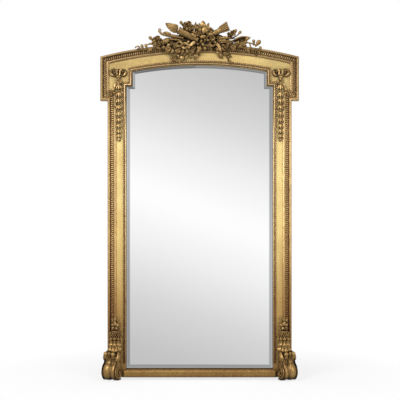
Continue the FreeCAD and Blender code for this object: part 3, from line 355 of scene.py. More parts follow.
def broader_bevel(tree, across, up):
    """Painted reflection: along stiles and rail the bevel's grey runs on over the flat, as if the bevel were
    broader there.
    """
    near_stile = work(tree, "GREATER_THAN", work(tree, "ABSOLUTE", across), BROAD_FROM)
    strip = work(tree, "MULTIPLY", near_stile, work(tree, "LESS_THAN", up, BROAD_UNDER))
    beside = mix_colours(tree, strip, CLEAN_TONE, STILE_REFLECTION_GREY)
    return mix_colours(tree, work(tree, "LESS_THAN", up, BROAD_OVER), beside, RAIL_REFLECTION_GREY)


def tarnished_bevel(tree, share, across, up, tilt):
    """The bevel's painted reflection greys are darker high on the left and low on the right, and paler along
    the rail.
    """
    side = spread(tree, across, -BEVEL_TURN, BEVEL_TURN, -1)
    cornerwise = work(tree, "MULTIPLY", side, work(tree, "SUBTRACT", up, PLATE_MIDDLE))
    grey = spread(tree, cornerwise, -BEVEL_GREY_FULL, -BEVEL_GREY_START, BEVEL_GREY_TONE)
    # Painted reflection: paler where the bevel faces down along the rail
    grey = mix_colours(tree, work(tree, "LESS_THAN", tilt, RAIL_TILT), grey, DOWNWARD_REFLECTION_TONE)
    # Painted shadow along the plate's lowest edge
    grey = mix_colours(tree, work(tree, "LESS_THAN", up, EDGE_SHADOW_UNDER), grey, EDGE_SHADOW_TONE)
    flat = ramp(tree, share, (0.95, 0), (0.99, 1))
    return mix_colours(tree, flat, grey, broader_bevel(tree, across, up))


def silvered_plate():
    """Silvered glass: a ground bevel in two painted greys, a painted reflection, round a clean, faintly
    clouded flat.
    """
    finish, tree, coords = new_finish("silvered_plate")
    place = coords["Object"]
    parts = apart(tree, place)
    share = spread(tree, parts["Y"], -BEVEL_LOW * MM, -BEVEL_HIGH * MM)
    # The bevel's two greys are painted reflection
    glass = ramp(tree, share, (0, (0.64, 0.65, 0.66)), (0.5, (0.72, 0.73, 0.74)),
                 (0.58, (0.52, 0.53, 0.54)), (0.94, (0.58, 0.59, 0.60)), (0.99, 0.985))
    # The bevel's painted reflection greys and its painted edge shadow
    tarnish = tarnished_bevel(tree, share, parts["X"], parts["Z"], apart(tree, coords["Normal"])["Z"])
    glass = mix_colours(tree, 1, glass, tarnish, "MULTIPLY")
    cloud = ramp(tree, noise(tree, place, 3), (0.4, 0), (0.8, 0.04))
    glass = mix_colours(tree, cloud, glass, (0.8, 0.81, 0.82))
    return coat(finish, put(tree, "ShaderNodeBsdfPrincipled", {
        "Base Color": glass,
        "Metallic": 1,
        "Roughness": 0.03,
    }))


def blackened_iron():
    finish, tree, coords = new_finish("blackened_iron")
    place = coords["Object"]
    rust = ramp(tree, noise(tree, place, 160, 6), (0.5, 0), (0.75, 0.7))
    pitting = noise(tree, place, 700)
    pits = put(tree, "ShaderNodeBump", {"Height": pitting, "Strength": 0.3, "Distance": 0.0004})
    return coat(finish, put(tree, "ShaderNodeBsdfPrincipled", {
        "Base Color": mix_colours(tree, rust, (0.05, 0.047, 0.045), (0.16, 0.075, 0.035)),
        "Metallic": 0.85,
        "Roughness": 0.5,
        "Normal": pits.outputs["Normal"],
    }))


def screw_steel():
    finish, tree, coords = new_finish("screw_steel")
    tarnish = ramp(tree, noise(tree, coords["Object"], 240, 5), (0.4, 0), (0.7, 0.8))
    return coat(finish, put(tree, "ShaderNodeBsdfPrincipled", {
        "Base Color": mix_colours(tree, tarnish, (0.42, 0.41, 0.39), (0.2, 0.17, 0.14)),
        "Metallic": 1,
        "Roughness": 0.45,
    }))


# Gildings: bright and worn tone, reach of the hollows, how open a clean one is, and the share of tone kept at
# the head under painted shade
BAND_HEAD_SHADE = 0.54
RUN_HEAD_SHADE = 0.8
# The crest's gold is dark partly as patina and partly as painted shade, also where the hollows' darkening
# doesn't reach
DEEP_GILT = carved_gilding("deep_gilding", (0.40, 0.249, 0.088), (0.158, 0.092, 0.032), 40, 0.98, shut=0.4)
DROP_GILT = carved_gilding("drop_gilding", (0.52, 0.338, 0.129), (0.23, 0.136, 0.05), 18, 0.96, shut=0.38)
FOOT_GILT = carved_gilding("foot_gilding", (0.53, 0.323, 0.113), (0.238, 0.131, 0.043), 30, 0.97, shut=0.28)
MID_GILT = carved_gilding("mid_gilding", (0.64, 0.43, 0.175), (0.34, 0.207, 0.08), 24, 0.97, shut=0.36)
BOW_GILT = carved_gilding("bow_gilding", (0.47, 0.305, 0.118), (0.24, 0.143, 0.052), 20, 0.97, shut=0.35)
# Painted shade inside the bow's loops
LOOP_SHADE_GILT = carved_gilding("loop_shade_gilding", (0.10, 0.06, 0.024), (0.045, 0.027, 0.011), 20, 0.95)
# Painted shade: the dark lip along the sight edge; also the dirt and shade round the bow's loops
LIP_SHADE_GILT = carved_gilding("lip_shade_gilding", (0.14, 0.085, 0.034), (0.08, 0.048, 0.019), 7, 0.9, RUN_HEAD_SHADE)
# Painted shade: the bead bed darker than the beads
BED_GILT = carved_gilding("bed_gilding", (0.36, 0.233, 0.098), (0.235, 0.146, 0.058), 7, 0.8, RUN_HEAD_SHADE)
BAND_GILT = carved_gilding("band_gilding", (0.70, 0.485, 0.22), (0.48, 0.305, 0.13), 7, 0.82, BAND_HEAD_SHADE)
LEAF_GILT = carved_gilding("leaf_gilding", (0.62, 0.425, 0.19), (0.42, 0.265, 0.112), 7, 0.8, BAND_HEAD_SHADE, 0.1)
FILLET_GILT = carved_gilding("fillet_gilding", (0.95, 0.69, 0.33), (0.72, 0.48, 0.22), 7, 0.7, BAND_HEAD_SHADE, 0.1)
RUN_GILT = carved_gilding("run_gilding", (0.63, 0.45, 0.212), (0.46, 0.305, 0.138), 7, 0.7, RUN_HEAD_SHADE, 0.1)


# Modelling by primitives, operators and modifiers
SEAM = 0.00001
SHARP_ANGLE = 48


def clear():
    if bpy.context.object and bpy.context.object.mode != "OBJECT":
        bpy.ops.object.mode_set(mode="OBJECT")
    bpy.ops.object.select_all(action="DESELECT")


def surface(across, along, place):
    """A grid primitive laid to a surface; u runs across from -1 to 1, v along from 0 to 1."""
    clear()
    bpy.ops.mesh.primitive_grid_add(x_subdivisions=across, y_subdivisions=along, size=2)
    sheet = bpy.context.object
    for vertex in sheet.data.vertices:
        vertex.co = place(vertex.co.x, (vertex.co.y + 1) / 2)
    return sheet


def thicken(sheet, wall):
    solid = sheet.modifiers.new("wall", "SOLIDIFY")
    solid.thickness = wall * MM
    solid.offset = 0
    bpy.ops.object.modifier_apply(modifier="wall")
    return sheet


def together(name, pieces):
    """Pieces joined under one name, seams and ends closed, faces outwards, smooth but for its sharp edges."""
    clear()
    for piece in pieces:
        piece.select_set(True)
    bpy.context.view_layer.objects.active = pieces[0]
    if len(pieces) > 1:
        bpy.ops.object.join()
    joined = bpy.context.object
    bpy.ops.object.mode_set(mode="EDIT")
    bpy.ops.mesh.select_all(action="SELECT")
    bpy.ops.mesh.remove_doubles(threshold=SEAM)
    bpy.ops.mesh.fill_holes(sides=0)
    bpy.ops.mesh.select_all(action="SELECT")
    bpy.ops.mesh.normals_make_consistent(inside=False)
    bpy.ops.object.mode_set(mode="OBJECT")
    bpy.ops.object.shade_smooth_by_angle(angle=math.radians(SHARP_ANGLE))
    joined.name = name
    joined.data.name = name
    return joined


def gild(name, finish, pieces, *nodes):
    """The finished carving that stands for its plain sub-parts."""
    piece = together(name, pieces)
    piece.data.materials.clear()
    piece.data.materials.append(finish)
    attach(piece, "frame")
    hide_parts(*nodes)
    return piece


def copy_to(model, matrix):
    """A copy with a mesh of its own, moved into place."""
    copied = model.copy()
    copied.data = model.data.copy()
    copied.data.transform(matrix)
    scene.collection.objects.link(copied)
    return copied


MIRROR_ACROSS = Matrix.Scale(-1, 4, (1, 0, 0))


def both_sides(name, finish, pieces, *nodes):
    """A carving of the right side and its mirror image on the left; the names leave a gap for the side."""
    for side in ("left", "right"):
        own = [copy_to(piece, MIRROR_ACROSS) for piece in pieces] if side == "left" else pieces
        gild(name.format(side), finish, own, *[node.format(side) for node in nodes])


def moved(piece, matrix):
    piece.data.transform(matrix)
    return piece


def ball(segments, rings, radius):
    clear()
    bpy.ops.mesh.primitive_uv_sphere_add(segments=segments, ring_count=rings, radius=radius)
    return bpy.context.object


def drop(*models):
    for model in models:
        bpy.data.objects.remove(model)


# A form modelled lying down, X across, Y up and Z outwards, is stood up against the wall
STAND_UP = Matrix(((1, 0, 0, 0), (0, 0, -1, 0), (0, 1, 0, 0), (0, 0, 0, 1)))


def stood(across, front, up, scale, turn=0, tilt=(0, 0)):
    """Where a form goes: its middle, its size, its turn in degrees and the way it leans."""
    lean = Euler((math.radians(tilt[0]), math.radians(tilt[1]), math.radians(turn))).to_matrix().to_4x4()
    return Matrix.Translation(at(across, front, up)) @ STAND_UP @ lean @ Matrix.Scale(scale, 4)


def turned(stations, around=20):
    """A turned form on Z: a ring extruded and scaled from station to station, each a height and a radius."""
    clear()
    height, radius = stations[0]
    bpy.ops.mesh.primitive_circle_add(vertices=around, radius=radius * MM)
    bpy.ops.object.mode_set(mode="EDIT")
    bpy.ops.mesh.select_all(action="SELECT")
    bpy.ops.transform.translate(value=(0, 0, height * MM))
    for next_height, next_radius in stations[1:]:
        step = (0, 0, (next_height - height) * MM)
        bpy.ops.mesh.extrude_region_move(TRANSFORM_OT_translate={"value": step})
        bpy.ops.transform.resize(value=(next_radius / radius, next_radius / radius, 1))
        height, radius = next_height, next_radius
    bpy.ops.mesh.select_all(action="SELECT")
    bpy.ops.mesh.fill_holes(sides=0)
    bpy.ops.mesh.normals_make_consistent(inside=False)
    bpy.ops.object.mode_set(mode="OBJECT")
    return bpy.context.object


def along_line(start, end):
    """Carries a form on Z from one point towards another."""
    direction = (end - start).normalized()
    return Matrix.Translation(start) @ direction.to_track_quat("Z", "Y").to_matrix().to_4x4()


def bend_through(points, share):
    """A point of the smooth line through points, from 0 to 1."""
    spot = min(share, 0.99999) * (len(points) - 1)
    index = int(spot)
    step = spot - index
    before = points[max(index - 1, 0)]
    first = points[index]
    second = points[index + 1]
    after = points[min(index + 2, len(points) - 1)]
    return 0.5 * (
        2 * first
        + (second - before) * step
        + (2 * before - 5 * first + 4 * second - after) * step ** 2
        + (3 * first - before - 3 * second + after) * step ** 3
    )


def run_of(points, share):
    """The line's direction at a share of its length."""
    step = 0.01
    ahead = bend_through(points, min(share + step, 1))
    back = bend_through(points, max(share - step, 0))
    return (ahead - back).normalized()


FRONT = Vector((0, -1, 0))


def section(points, share):
    """Where the line is at a share of its length, with its direction, its side and its front there."""
    run = run_of(points, share)
    side = run.cross(FRONT).normalized()
    return bend_through(points, share), run, side, side.cross(run)


# Columns of faces round a stalk and across a leaf or a ribbon, and the share in which a stalk's end closes
STALK_COLUMNS = 8
LEAF_COLUMNS = 6
VEINED_COLUMNS = 12
RIBBON_COLUMNS = 3
STALK_END = 1 / 8


def stalk(points, thick, thin, steps=10):
    """A round stalk that tapers along its line and closes at both ends."""
    def place(u, v):
        spot, _, side, rise = section(points, v)
        closing = min(1, v / STALK_END, (1 - v) / STALK_END) ** 0.5
        radius = (thick + (thin - thick) * v) * MM * closing
        turn = math.pi * u
        return spot + radius * (math.cos(turn) * side + math.sin(turn) * rise)
    return surface(STALK_COLUMNS, steps, place)


def leaf(points, half, cup=3, lobes=0, wall=2.4, turn=0, waist=0.8, steps=10, veins=0):
    """A carved leaf along its line with a raised rib, and with lobed edges and cut veins if wanted."""
    def place(u, v):
        spot, run, side, _ = section(points, v)
        side = Matrix.Rotation(math.radians(turn), 3, run) @ side
        rise = side.cross(run)
        if rise.dot(FRONT) < 0:
            rise = -rise
        shape = math.sin(math.pi * min(max(v, 0.02), 0.985) ** waist) ** 0.75
        lift = cup * (1 - u * u) + 1.3 * math.exp(-((u / 0.2) ** 2))
        if lobes:
            wave = math.cos(2 * math.pi * lobes * v)
            shape *= 0.89 + 0.2 * wave
            lift += wave * abs(u)
        if veins:
            lift -= 2.2 * abs(math.cos(math.pi * veins * (v - 0.3 * abs(u)))) ** 3 * min(1, 3 * abs(u))
        return spot + (side * u * half * shape + rise * lift) * MM
    return thicken(surface(VEINED_COLUMNS if veins else LEAF_COLUMNS, steps, place), wall)


def ribbon(points, half, lean=0, ripple=0, wall=2.2, steps=18):
    """A ribbon along its line; lean turns its face, ripple waves it."""
    def place(u, v):
        spot, _, side, face = section(points, v)
        angle = math.radians(lean) + ripple * math.sin(4 * math.pi * v)
        edge = math.cos(angle) * side + math.sin(angle) * face
        return spot + edge * (u * half * MM) + face * (0.8 * MM * (1 - u * u))
    return thicken(surface(RIBBON_COLUMNS, steps, place), wall)


# Forms modelled once, lying down, and copied
def on_ring(turn, reach, height):
    """A point at a turn round Z and a reach from it."""
    return Vector((math.cos(turn) * reach, math.sin(turn) * reach, height))


def petal(start, end, low, high, half_angle, turn, roll):
    """One petal of a flower of radius one, from its start to its end and from low to high, its lip rolled."""
    def place(u, v):
        angle = turn + u * half_angle * math.sin(math.pi * (0.25 + 0.6 * v)) ** 0.7
        reach = start + (end - start) * v * (1 - 0.13 * u * u)
        height = low + (high - low) * math.sin(v * math.pi / 2)
        height -= roll * max(0, v - 0.6) ** 2 * 6
        return on_ring(angle, reach, height + 0.07 * u * u)
    return surface(4, 4, place)


def make_rose():
    """A full-blown rose of radius one: a closed heart and four rings of petals."""
    pieces = []
    rings = [
        # petals, start, end, low, high, half angle, roll
        (3, 0.04, 0.26, 0.18, 0.42, 0.95, 0),
        (4, 0.16, 0.48, 0.14, 0.5, 0.8, 0.05),
        (5, 0.34, 0.8, 0.04, 0.56, 0.72, 0.15),
        (5, 0.5, 1.05, 0, 0.36, 0.72, 0.3),
    ]
    for number, (count, start, end, low, high, half_angle, roll) in enumerate(rings):
        for step in range(count):
            turn = 2 * math.pi * step / count + number * 0.7
            pieces.append(thicken(petal(start, end, low, high, half_angle, turn, roll), 0.075 / MM))
    pieces.append(moved(ball(8, 6, 0.5), Matrix.Diagonal((1.3, 1.3, 0.55, 1))))
    return together("rose_model", pieces)


def make_floret():
    """An open flower of radius one: six pointed petals round a ball."""
    pieces = []
    for step in range(6):
        way = on_ring(math.pi * step / 3, 1, 0)
        side = Vector((-way.y, way.x, 0))

        def place(u, v, way=way, side=side):
            width = 0.36 * math.sin(math.pi * min(max(v, 0.08), 0.97) ** 0.8) ** 0.8
            height = 0.12 + 0.34 * math.sin(v * 2.4) + 0.12 * u * u - 0.08 * (1 - abs(u))
            return way * (0.12 + 0.9 * v) + side * (u * width) + Vector((0, 0, height))
        pieces.append(thicken(surface(4, 4, place), 0.1 / MM))
    pieces.append(moved(ball(8, 6, 0.17), Matrix.Translation((0, 0, 0.26))))
    pieces.append(turned([(0, 0.3 / MM), (0.3 / MM, 0.2 / MM)], 8))
    return together("floret_model", pieces)


def make_bud():
    """A half-open bud of length one along Z, its sepals in six ridges."""
    def place(u, v):
        turn = math.pi * u
        body = math.sin(math.pi * v ** 0.75) ** 0.8
        return on_ring(turn, 0.34 * body * (1 + 0.16 * math.cos(6 * turn + 2 * v)), v)
    return together("bud_model", [surface(18, 8, place)])


def make_knob():
    """A closed bud of length one on its own stem along Z, fullest near its blunt tip."""
    def place(u, v):
        turn = math.pi * u
        body = math.sin(math.pi * v ** 2.2) ** 0.7
        stem = 0.1 * min(1, 10 * v) * (1 - v)
        return on_ring(turn, 0.23 * body * (1 + 0.12 * math.cos(5 * turn)) + stem, v)
    return together("knob_model", [surface(15, 9, place)])


def make_rosette():
    """A flat disc of radius one with a rolled rim, eight short petals and a button."""
    def place(u, v):
        turn = math.pi * u
        height = 0.22 + 0.2 * math.exp(-((v - 0.86) / 0.13) ** 2) + 0.3 * math.exp(-(v / 0.22) ** 2)
        height += 0.07 * math.cos(8 * turn) * math.sin(math.pi * v)
        return on_ring(turn, 0.02 + v, height * min(1, 8 * (1.02 - v)))
    return together("rosette_model", [surface(24, 10, place)])


def make_husk():
    """A bellflower husk of length one, hanging down Y: a plump middle lobe over two leaves that spread."""
    pieces = []
    for side in (-1, 1):
        def place(u, v, side=side):
            width = 0.13 * math.sin(math.pi * min(max(v, 0.05), 0.985) ** 0.62) ** 0.9
            across = side * 0.32 * math.sin(v * 1.7) ** 1.3 + u * width
            height = 0.12 + 0.2 * math.sin(v * 2.2) + 0.08 * (1 - u * u)
            return Vector((across, -0.04 - v * 0.78, height))
        pieces.append(thicken(surface(4, 6, place), 0.09 / MM))

    def lobe(u, v):
        turn = math.pi * u
        body = math.sin(math.pi * v ** 0.7) ** 0.85
        height = 0.2 + 0.17 * body * math.sin(turn) + 0.32 * v
        return Vector((0.19 * body * math.cos(turn), -v * 0.86, height))
    pieces.append(surface(12, 8, lobe))
    pieces.append(moved(ball(10, 6, 0.13), Matrix.Translation((0, 0.03, 0.32))))
    return together("husk_model", pieces)


ROSE = make_rose()
FLORET = make_floret()
BUD = make_bud()
KNOB = make_knob()
ROSETTE = make_rosette()
HUSK = make_husk()


def pointing(model, start, end):
    """A copy of a form of length one, laid from its root to its tip."""
    return copy_to(model, along_line(start, end) @ Matrix.Scale((end - start).length, 4))


# Mouldings round the frame: every line has the same corners, so the mitres fall out by themselves
def outer_side(inset):
    """The right side's line at a distance in from the outer edge, from the foot to the ear's top corner."""
    stile = STILE_EDGE - inset
    ear = EAR_EDGE - inset
    under = EAR_BASE + inset
    top = ARCH_CENTRE + math.sqrt((ARCH_RADIUS - inset) ** 2 - ear ** 2)
    return [(stile, SIDE_BAND["low"]), (stile, under), (ear, under), (ear, top)]


# Below the shoulders the lip dies out, and the fillet and the beads draw in to the glass
LIP_EDGE = -0.4
LIP_WIDTH = 4.2
DRAWN_SHARE = 0.85
DRAWN_BELOW = 1300
FULL_ABOVE = 1520


def sight_side(inset):
    """The right side's line at a distance out from the sight edge, from the bead row's foot to the arch."""
    stile = SIGHT_EDGE + inset
    drawn_in = SIGHT_EDGE + max((inset - LIP_WIDTH) * DRAWN_SHARE, LIP_EDGE)
    ear = EAR_SIGHT + inset
    under = SIGHT_STEP + inset
    top = ARCH_CENTRE + math.sqrt((SIGHT_RADIUS + inset) ** 2 - ear ** 2)
    return [(drawn_in, SIDE_BEADS["low"]), (drawn_in, DRAWN_BELOW), (stile, FULL_ABOVE), (stile, under),
            (ear, under), (ear, top)]


ARC_STEPS = 60


def arc_line(radius, half):
    """The arch's line from left to right between two widths."""
    reach = math.asin(half / radius)
    line = []
    for step in range(ARC_STEPS + 1):
        angle = reach * (2 * step / ARC_STEPS - 1)
        line.append((radius * math.sin(angle), ARCH_CENTRE + radius * math.cos(angle)))
    return line


def outer_head(inset):
    return arc_line(ARCH_RADIUS - inset, EAR_EDGE - inset)


def sight_head(inset):
    return arc_line(SIGHT_RADIUS + inset, EAR_SIGHT + inset)


def moulding(line, profile):
    """A closed profile, each point an inset and a height, run along its line."""
    corners = len(line(0))
    profile = profile + profile[:1]
    lines = [line(inset) for inset, _ in profile]

    def place(u, v):
        column = round((u + 1) / 2 * (len(profile) - 1))
        row = round(v * (corners - 1))
        across, up = lines[column][row]
        return at(across, profile[column][1], up)
    return surface(len(profile) - 1, corners - 1, place)


def evenly(line, pitch):
    """Places and directions at an even pitch: run by run along a side, and along the arch as a whole."""
    found = []
    points = [Vector((across, 0, up)) for across, up in line]
    lengths = [(second - first).length for first, second in zip(points, points[1:])]
    if len(points) < ARC_STEPS:
        for first, second, length in zip(points, points[1:], lengths):
            count = max(1, round(length / pitch))
            for step in range(count):
                found.append((first.lerp(second, (step + 0.5) / count), (second - first).normalized()))
        return found
    count = round(sum(lengths) / pitch)
    for step in range(count):
        share = (step + 0.5) / count * (len(points) - 1)
        index = min(int(share), len(points) - 2)
        run = points[index + 1] - points[index]
        found.append((points[index] + run * (share - index), run.normalized()))
    return found


def make_bead():
    """A round bead, its back pressed flat."""
    bead = ball(9, 6, BEAD_RADIUS * MM)
    bpy.ops.object.mode_set(mode="EDIT")
    bpy.ops.mesh.select_all(action="SELECT")
    bpy.ops.mesh.bisect(plane_co=(0, 0, -BEAD_SEAT * MM), plane_no=(0, 0, 1), clear_inner=True, use_fill=True)
    bpy.ops.object.mode_set(mode="OBJECT")
    return bead


def make_tongue():
    """One leaf of the outer moulding: a slanting tongue across the strip, rounded and grooved."""
    half_length = LEAF_WIDTH * 0.5
    half_across = TONGUE_PITCH * 0.42
    slant = 0.28

    def place(u, v):
        along = (2 * v - 1) * half_length
        open_share = math.sin(math.pi / 2 * min(1, 0.1 + v / 0.6))
        width = half_across * (0.35 + 0.65 * open_share)
        height = 5.2 * (0.4 + 0.6 * open_share) * (1 - abs(u) ** 3) - 0.8 * math.exp(-(u / 0.25) ** 2) * v
        return Vector((along, u * width + slant * along, height)) * MM
    return thicken(surface(6, 6, place), 1.4)


BAND_PROFILE = [(0, 42), (0, 57), (1, 60.5), (3.2, 63), (6.5, 64), (10.6, 63.4), (12.4, 62), (13, 59),
                (13, 42)]
LEAF_PROFILE = [(13, 42), (13, 46), (14, 43.6), (24, 42.8), (32, 43.4), (34, 45.6), (34.6, 47.6), (37, 48.4),
                (43, 47.8), (46.5, 46), (48, 43.6), (48, 42)]
BEAD_PROFILE = [(10.2, 42), (10.2, 43.4), (10.8, 42.7), (23.2, 42.7), (23.8, 42.3), (23.8, 42)]
LIP_PROFILE = [(-0.4, 41.9), (-0.4, 42.3), (4.4, 42.5), (4.4, 41.9)]
SIGHT_PROFILE = [(4.2, 41.9), (4.2, 44.6), (4.8, 45.4), (7.2, 45.7), (9.6, 45.4), (10.2, 44.6), (10.2, 41.9)]


def set_along(model, line, pitch, front):
    """Copies of a form along a line, each turned so that its X points in from the outer edge."""
    copies = []
    for spot, run in evenly(line, pitch):
        inward = FRONT.cross(run)
        turn = Matrix((
            (inward.x, run.x, 0, 0),
            (0, 0, -1, 0),
            (inward.z, run.z, 0, 0),
            (0, 0, 0, 1),
        ))
        copies.append(copy_to(model, Matrix.Translation(at(spot.x, front, spot.z)) @ turn))
    return copies


OUTER_LINES = (outer_side, outer_head)
SIGHT_LINES = (sight_side, sight_head)


def trim(name, finish, lines, form, *nodes):
    """One run of the trim, up both sides and round the head; form makes its pieces along a line."""
    side_line, head_line = lines
    both_sides("{}_" + name, finish, form(side_line), *["{}_" + node for node in nodes])
    gild("head_" + name, finish, form(head_line), *["head_" + node for node in nodes])


def make_mouldings():
    bead = make_bead()
    tongue = make_tongue()
    leaf_middle = BAND_WIDTH + LEAF_WIDTH * 0.5

    def moulded(profile):
        return lambda line: [moulding(line, profile)]

    def beset(model, inset, pitch, front):
        return lambda line: set_along(model, line(inset), pitch, front)

    trim("band", BAND_GILT, OUTER_LINES, moulded(BAND_PROFILE), "outer_band")
    trim("leaf_bed", BAND_GILT, OUTER_LINES, moulded(LEAF_PROFILE))
    tongues = beset(tongue, leaf_middle, TONGUE_PITCH, TONGUE_FRONT)
    trim("leaves", LEAF_GILT, OUTER_LINES, tongues, "leaf_strip")
    # The bead bed, darkened as painted shade
    trim("bead_bed", BED_GILT, SIGHT_LINES, moulded(BEAD_PROFILE))
    trim("sight_fillet", FILLET_GILT, SIGHT_LINES, moulded(SIGHT_PROFILE))
    # A dark strip of painted shade along the sight edge
    trim("sight_shade_lip", LIP_SHADE_GILT, SIGHT_LINES, moulded(LIP_PROFILE))
    beads = beset(bead, BEAD_MIDDLE, BEAD_PITCH, BEAD_FRONT)
    trim("beads", RUN_GILT, SIGHT_LINES, beads, "bead_strip")
    drop(bead, tongue)


# The crest: places are read off the photograph in pixels and carried to the mirror's own millimetres
PHOTO_WIDTH = 400
PIXEL = VIEW_WIDTH / PHOTO_WIDTH
PHOTO_MIDDLE = PHOTO_WIDTH / 2 - VIEW_ACROSS / PIXEL
PHOTO_CROWN = 44.15


def seen(right, down, front):
    """The point seen at a place in the photograph; what stands out nearer the camera looks larger there."""
    nearer = 1 - (front - FLAT) / VIEW_DISTANCE
    across = (right - PHOTO_MIDDLE) * PIXEL - VIEW_ACROSS
    up = CROWN + (PHOTO_CROWN - down) * PIXEL - VIEW_UP
    return at(VIEW_ACROSS + across * nearer, front, VIEW_UP + up * nearer)


def seen_leaf(start, middle, end, half, fronts, **shape):
    """A leaf through three places in the photograph; fronts are how far each stands from the wall."""
    points = [seen(*place, front) for place, front in zip((start, middle, end), fronts)]
    return leaf(points, half * PIXEL, **shape)


def seen_stalk(places, thick, thin):
    return stalk([seen(*place) for place in places], thick, thin)


def flower(model, right, down, front, radius, turn=0, tilt=(0, 0)):
    spot = seen(right, down, front)
    return copy_to(model, stood(spot.x / MM, front, spot.z / MM, radius * PIXEL * MM, turn, tilt))


def seen_knob(start, end, front, rise=0):
    """A knob from its root to its tip; rise is how much farther out the tip stands."""
    return pointing(KNOB, seen(*start, front), seen(*end, front + rise))


def stem_behind(right, down, front, back):
    """A short stem that carries a flower from the wood behind it."""
    middle = (front + back) / 2
    return seen_stalk([(right, down - 0.8, back), (right, down - 0.4, middle), (right, down, front)], 4, 4)


TORCH_FRONT = 80
TORCH_RADIUS = 19
FLUTES = 5
FLUTE_PITCH = 1.25


def make_torch():
    """The torch: a flared mouth with a ring, then a fluted body that tapers towards the bouquet."""
    body = turned([
        (0, 12), (0.5, 18), (0, 20.5), (3, 22), (6, 21.5), (7, 19.5), (22, 19.5), (23, 21.5), (26, 22),
        (29, 21), (30, 19), (60, 17.5), (95, 15.8), (96, 17.2), (99, 17.2), (100, 15.5), (121, 14.5),
        (123, 8),
    ], 28)
    pieces = [moved(body, along_line(seen(178.3, 30.1, TORCH_FRONT), seen(197, 39.4, TORCH_FRONT)))]
    for step in range(FLUTES):
        side = (step - FLUTES // 2) * FLUTE_PITCH
        rise = math.sqrt(TORCH_RADIUS ** 2 - (side * PIXEL) ** 2)
        pieces.append(seen_stalk([
            (179 + side * 0.45, 30.4 - side * 0.9, TORCH_FRONT + rise),
            (187 + side * 0.42, 34.4 - side * 0.84, TORCH_FRONT - 1 + rise * 0.93),
            (194 + side * 0.38, 37.9 - side * 0.76, TORCH_FRONT - 2 + rise * 0.85),
        ], 2.6, 2.2))
    gild("torch", DEEP_GILT, pieces, "crest_torch")


def make_flame():
    """The broad cupped leaf at the torch's mouth."""
    pieces = [
        seen_leaf((177.8, 29.4), (172.4, 27.4), (165.8, 23.3), 4.4, (78, 84, 76), cup=6, waist=0.6, steps=30,
                  veins=5),
        seen_leaf((178, 31), (175.6, 31.4), (173, 32.2), 1.4, (80, 82, 76)),
        seen_stalk([(177.4, 29.2, 86), (172.4, 27.4, 91), (166.4, 23.7, 82)], 2.4, 1.2),
    ]
    gild("flame", DEEP_GILT, pieces, "torch_flame")


QUIVER_FRONT = 77
FEATHERS = 5


def make_quiver():
    """The quiver crossing the torch, with the feathered ends of its arrows."""
    start = seen(207.5, 37.2, QUIVER_FRONT)
    end = seen(221, 29.8, QUIVER_FRONT)
    length = (end - start).length / MM
    ring = length * 0.6
    body = turned([
        (0, 9), (2, 13), (ring, 14.5), (ring + 1, 16.5), (ring + 7, 16.5), (ring + 8, 14.5),
        (length - 8, 15.5), (length - 7, 17), (length - 2, 17.5), (length, 16),
    ], 24)
    gild("quiver", DEEP_GILT, [moved(body, along_line(start, end))], "crest_quiver")
    feathers = []
    for step in range(FEATHERS):
        share = step / (FEATHERS - 1)
        rise = 80 + 8 * math.sin(math.pi * share)
        root = (218.6 + 3.6 * share, 27.8 + 4.4 * share, rise)
        tip = (227.3 + 2.8 * share, 21.8 + 7.6 * share, rise + 4)
        middle = tuple((first + second) / 2 for first, second in zip(root, tip))
        feathers.append(seen_stalk([root, middle, tip], 4.4, 5.6))
    feathers.append(seen_stalk([(217, 32, QUIVER_FRONT), (222, 28.8, 74), (226.2, 26.4, 72)], 12, 14))
    gild("arrows", DEEP_GILT, feathers, "crest_arrows")


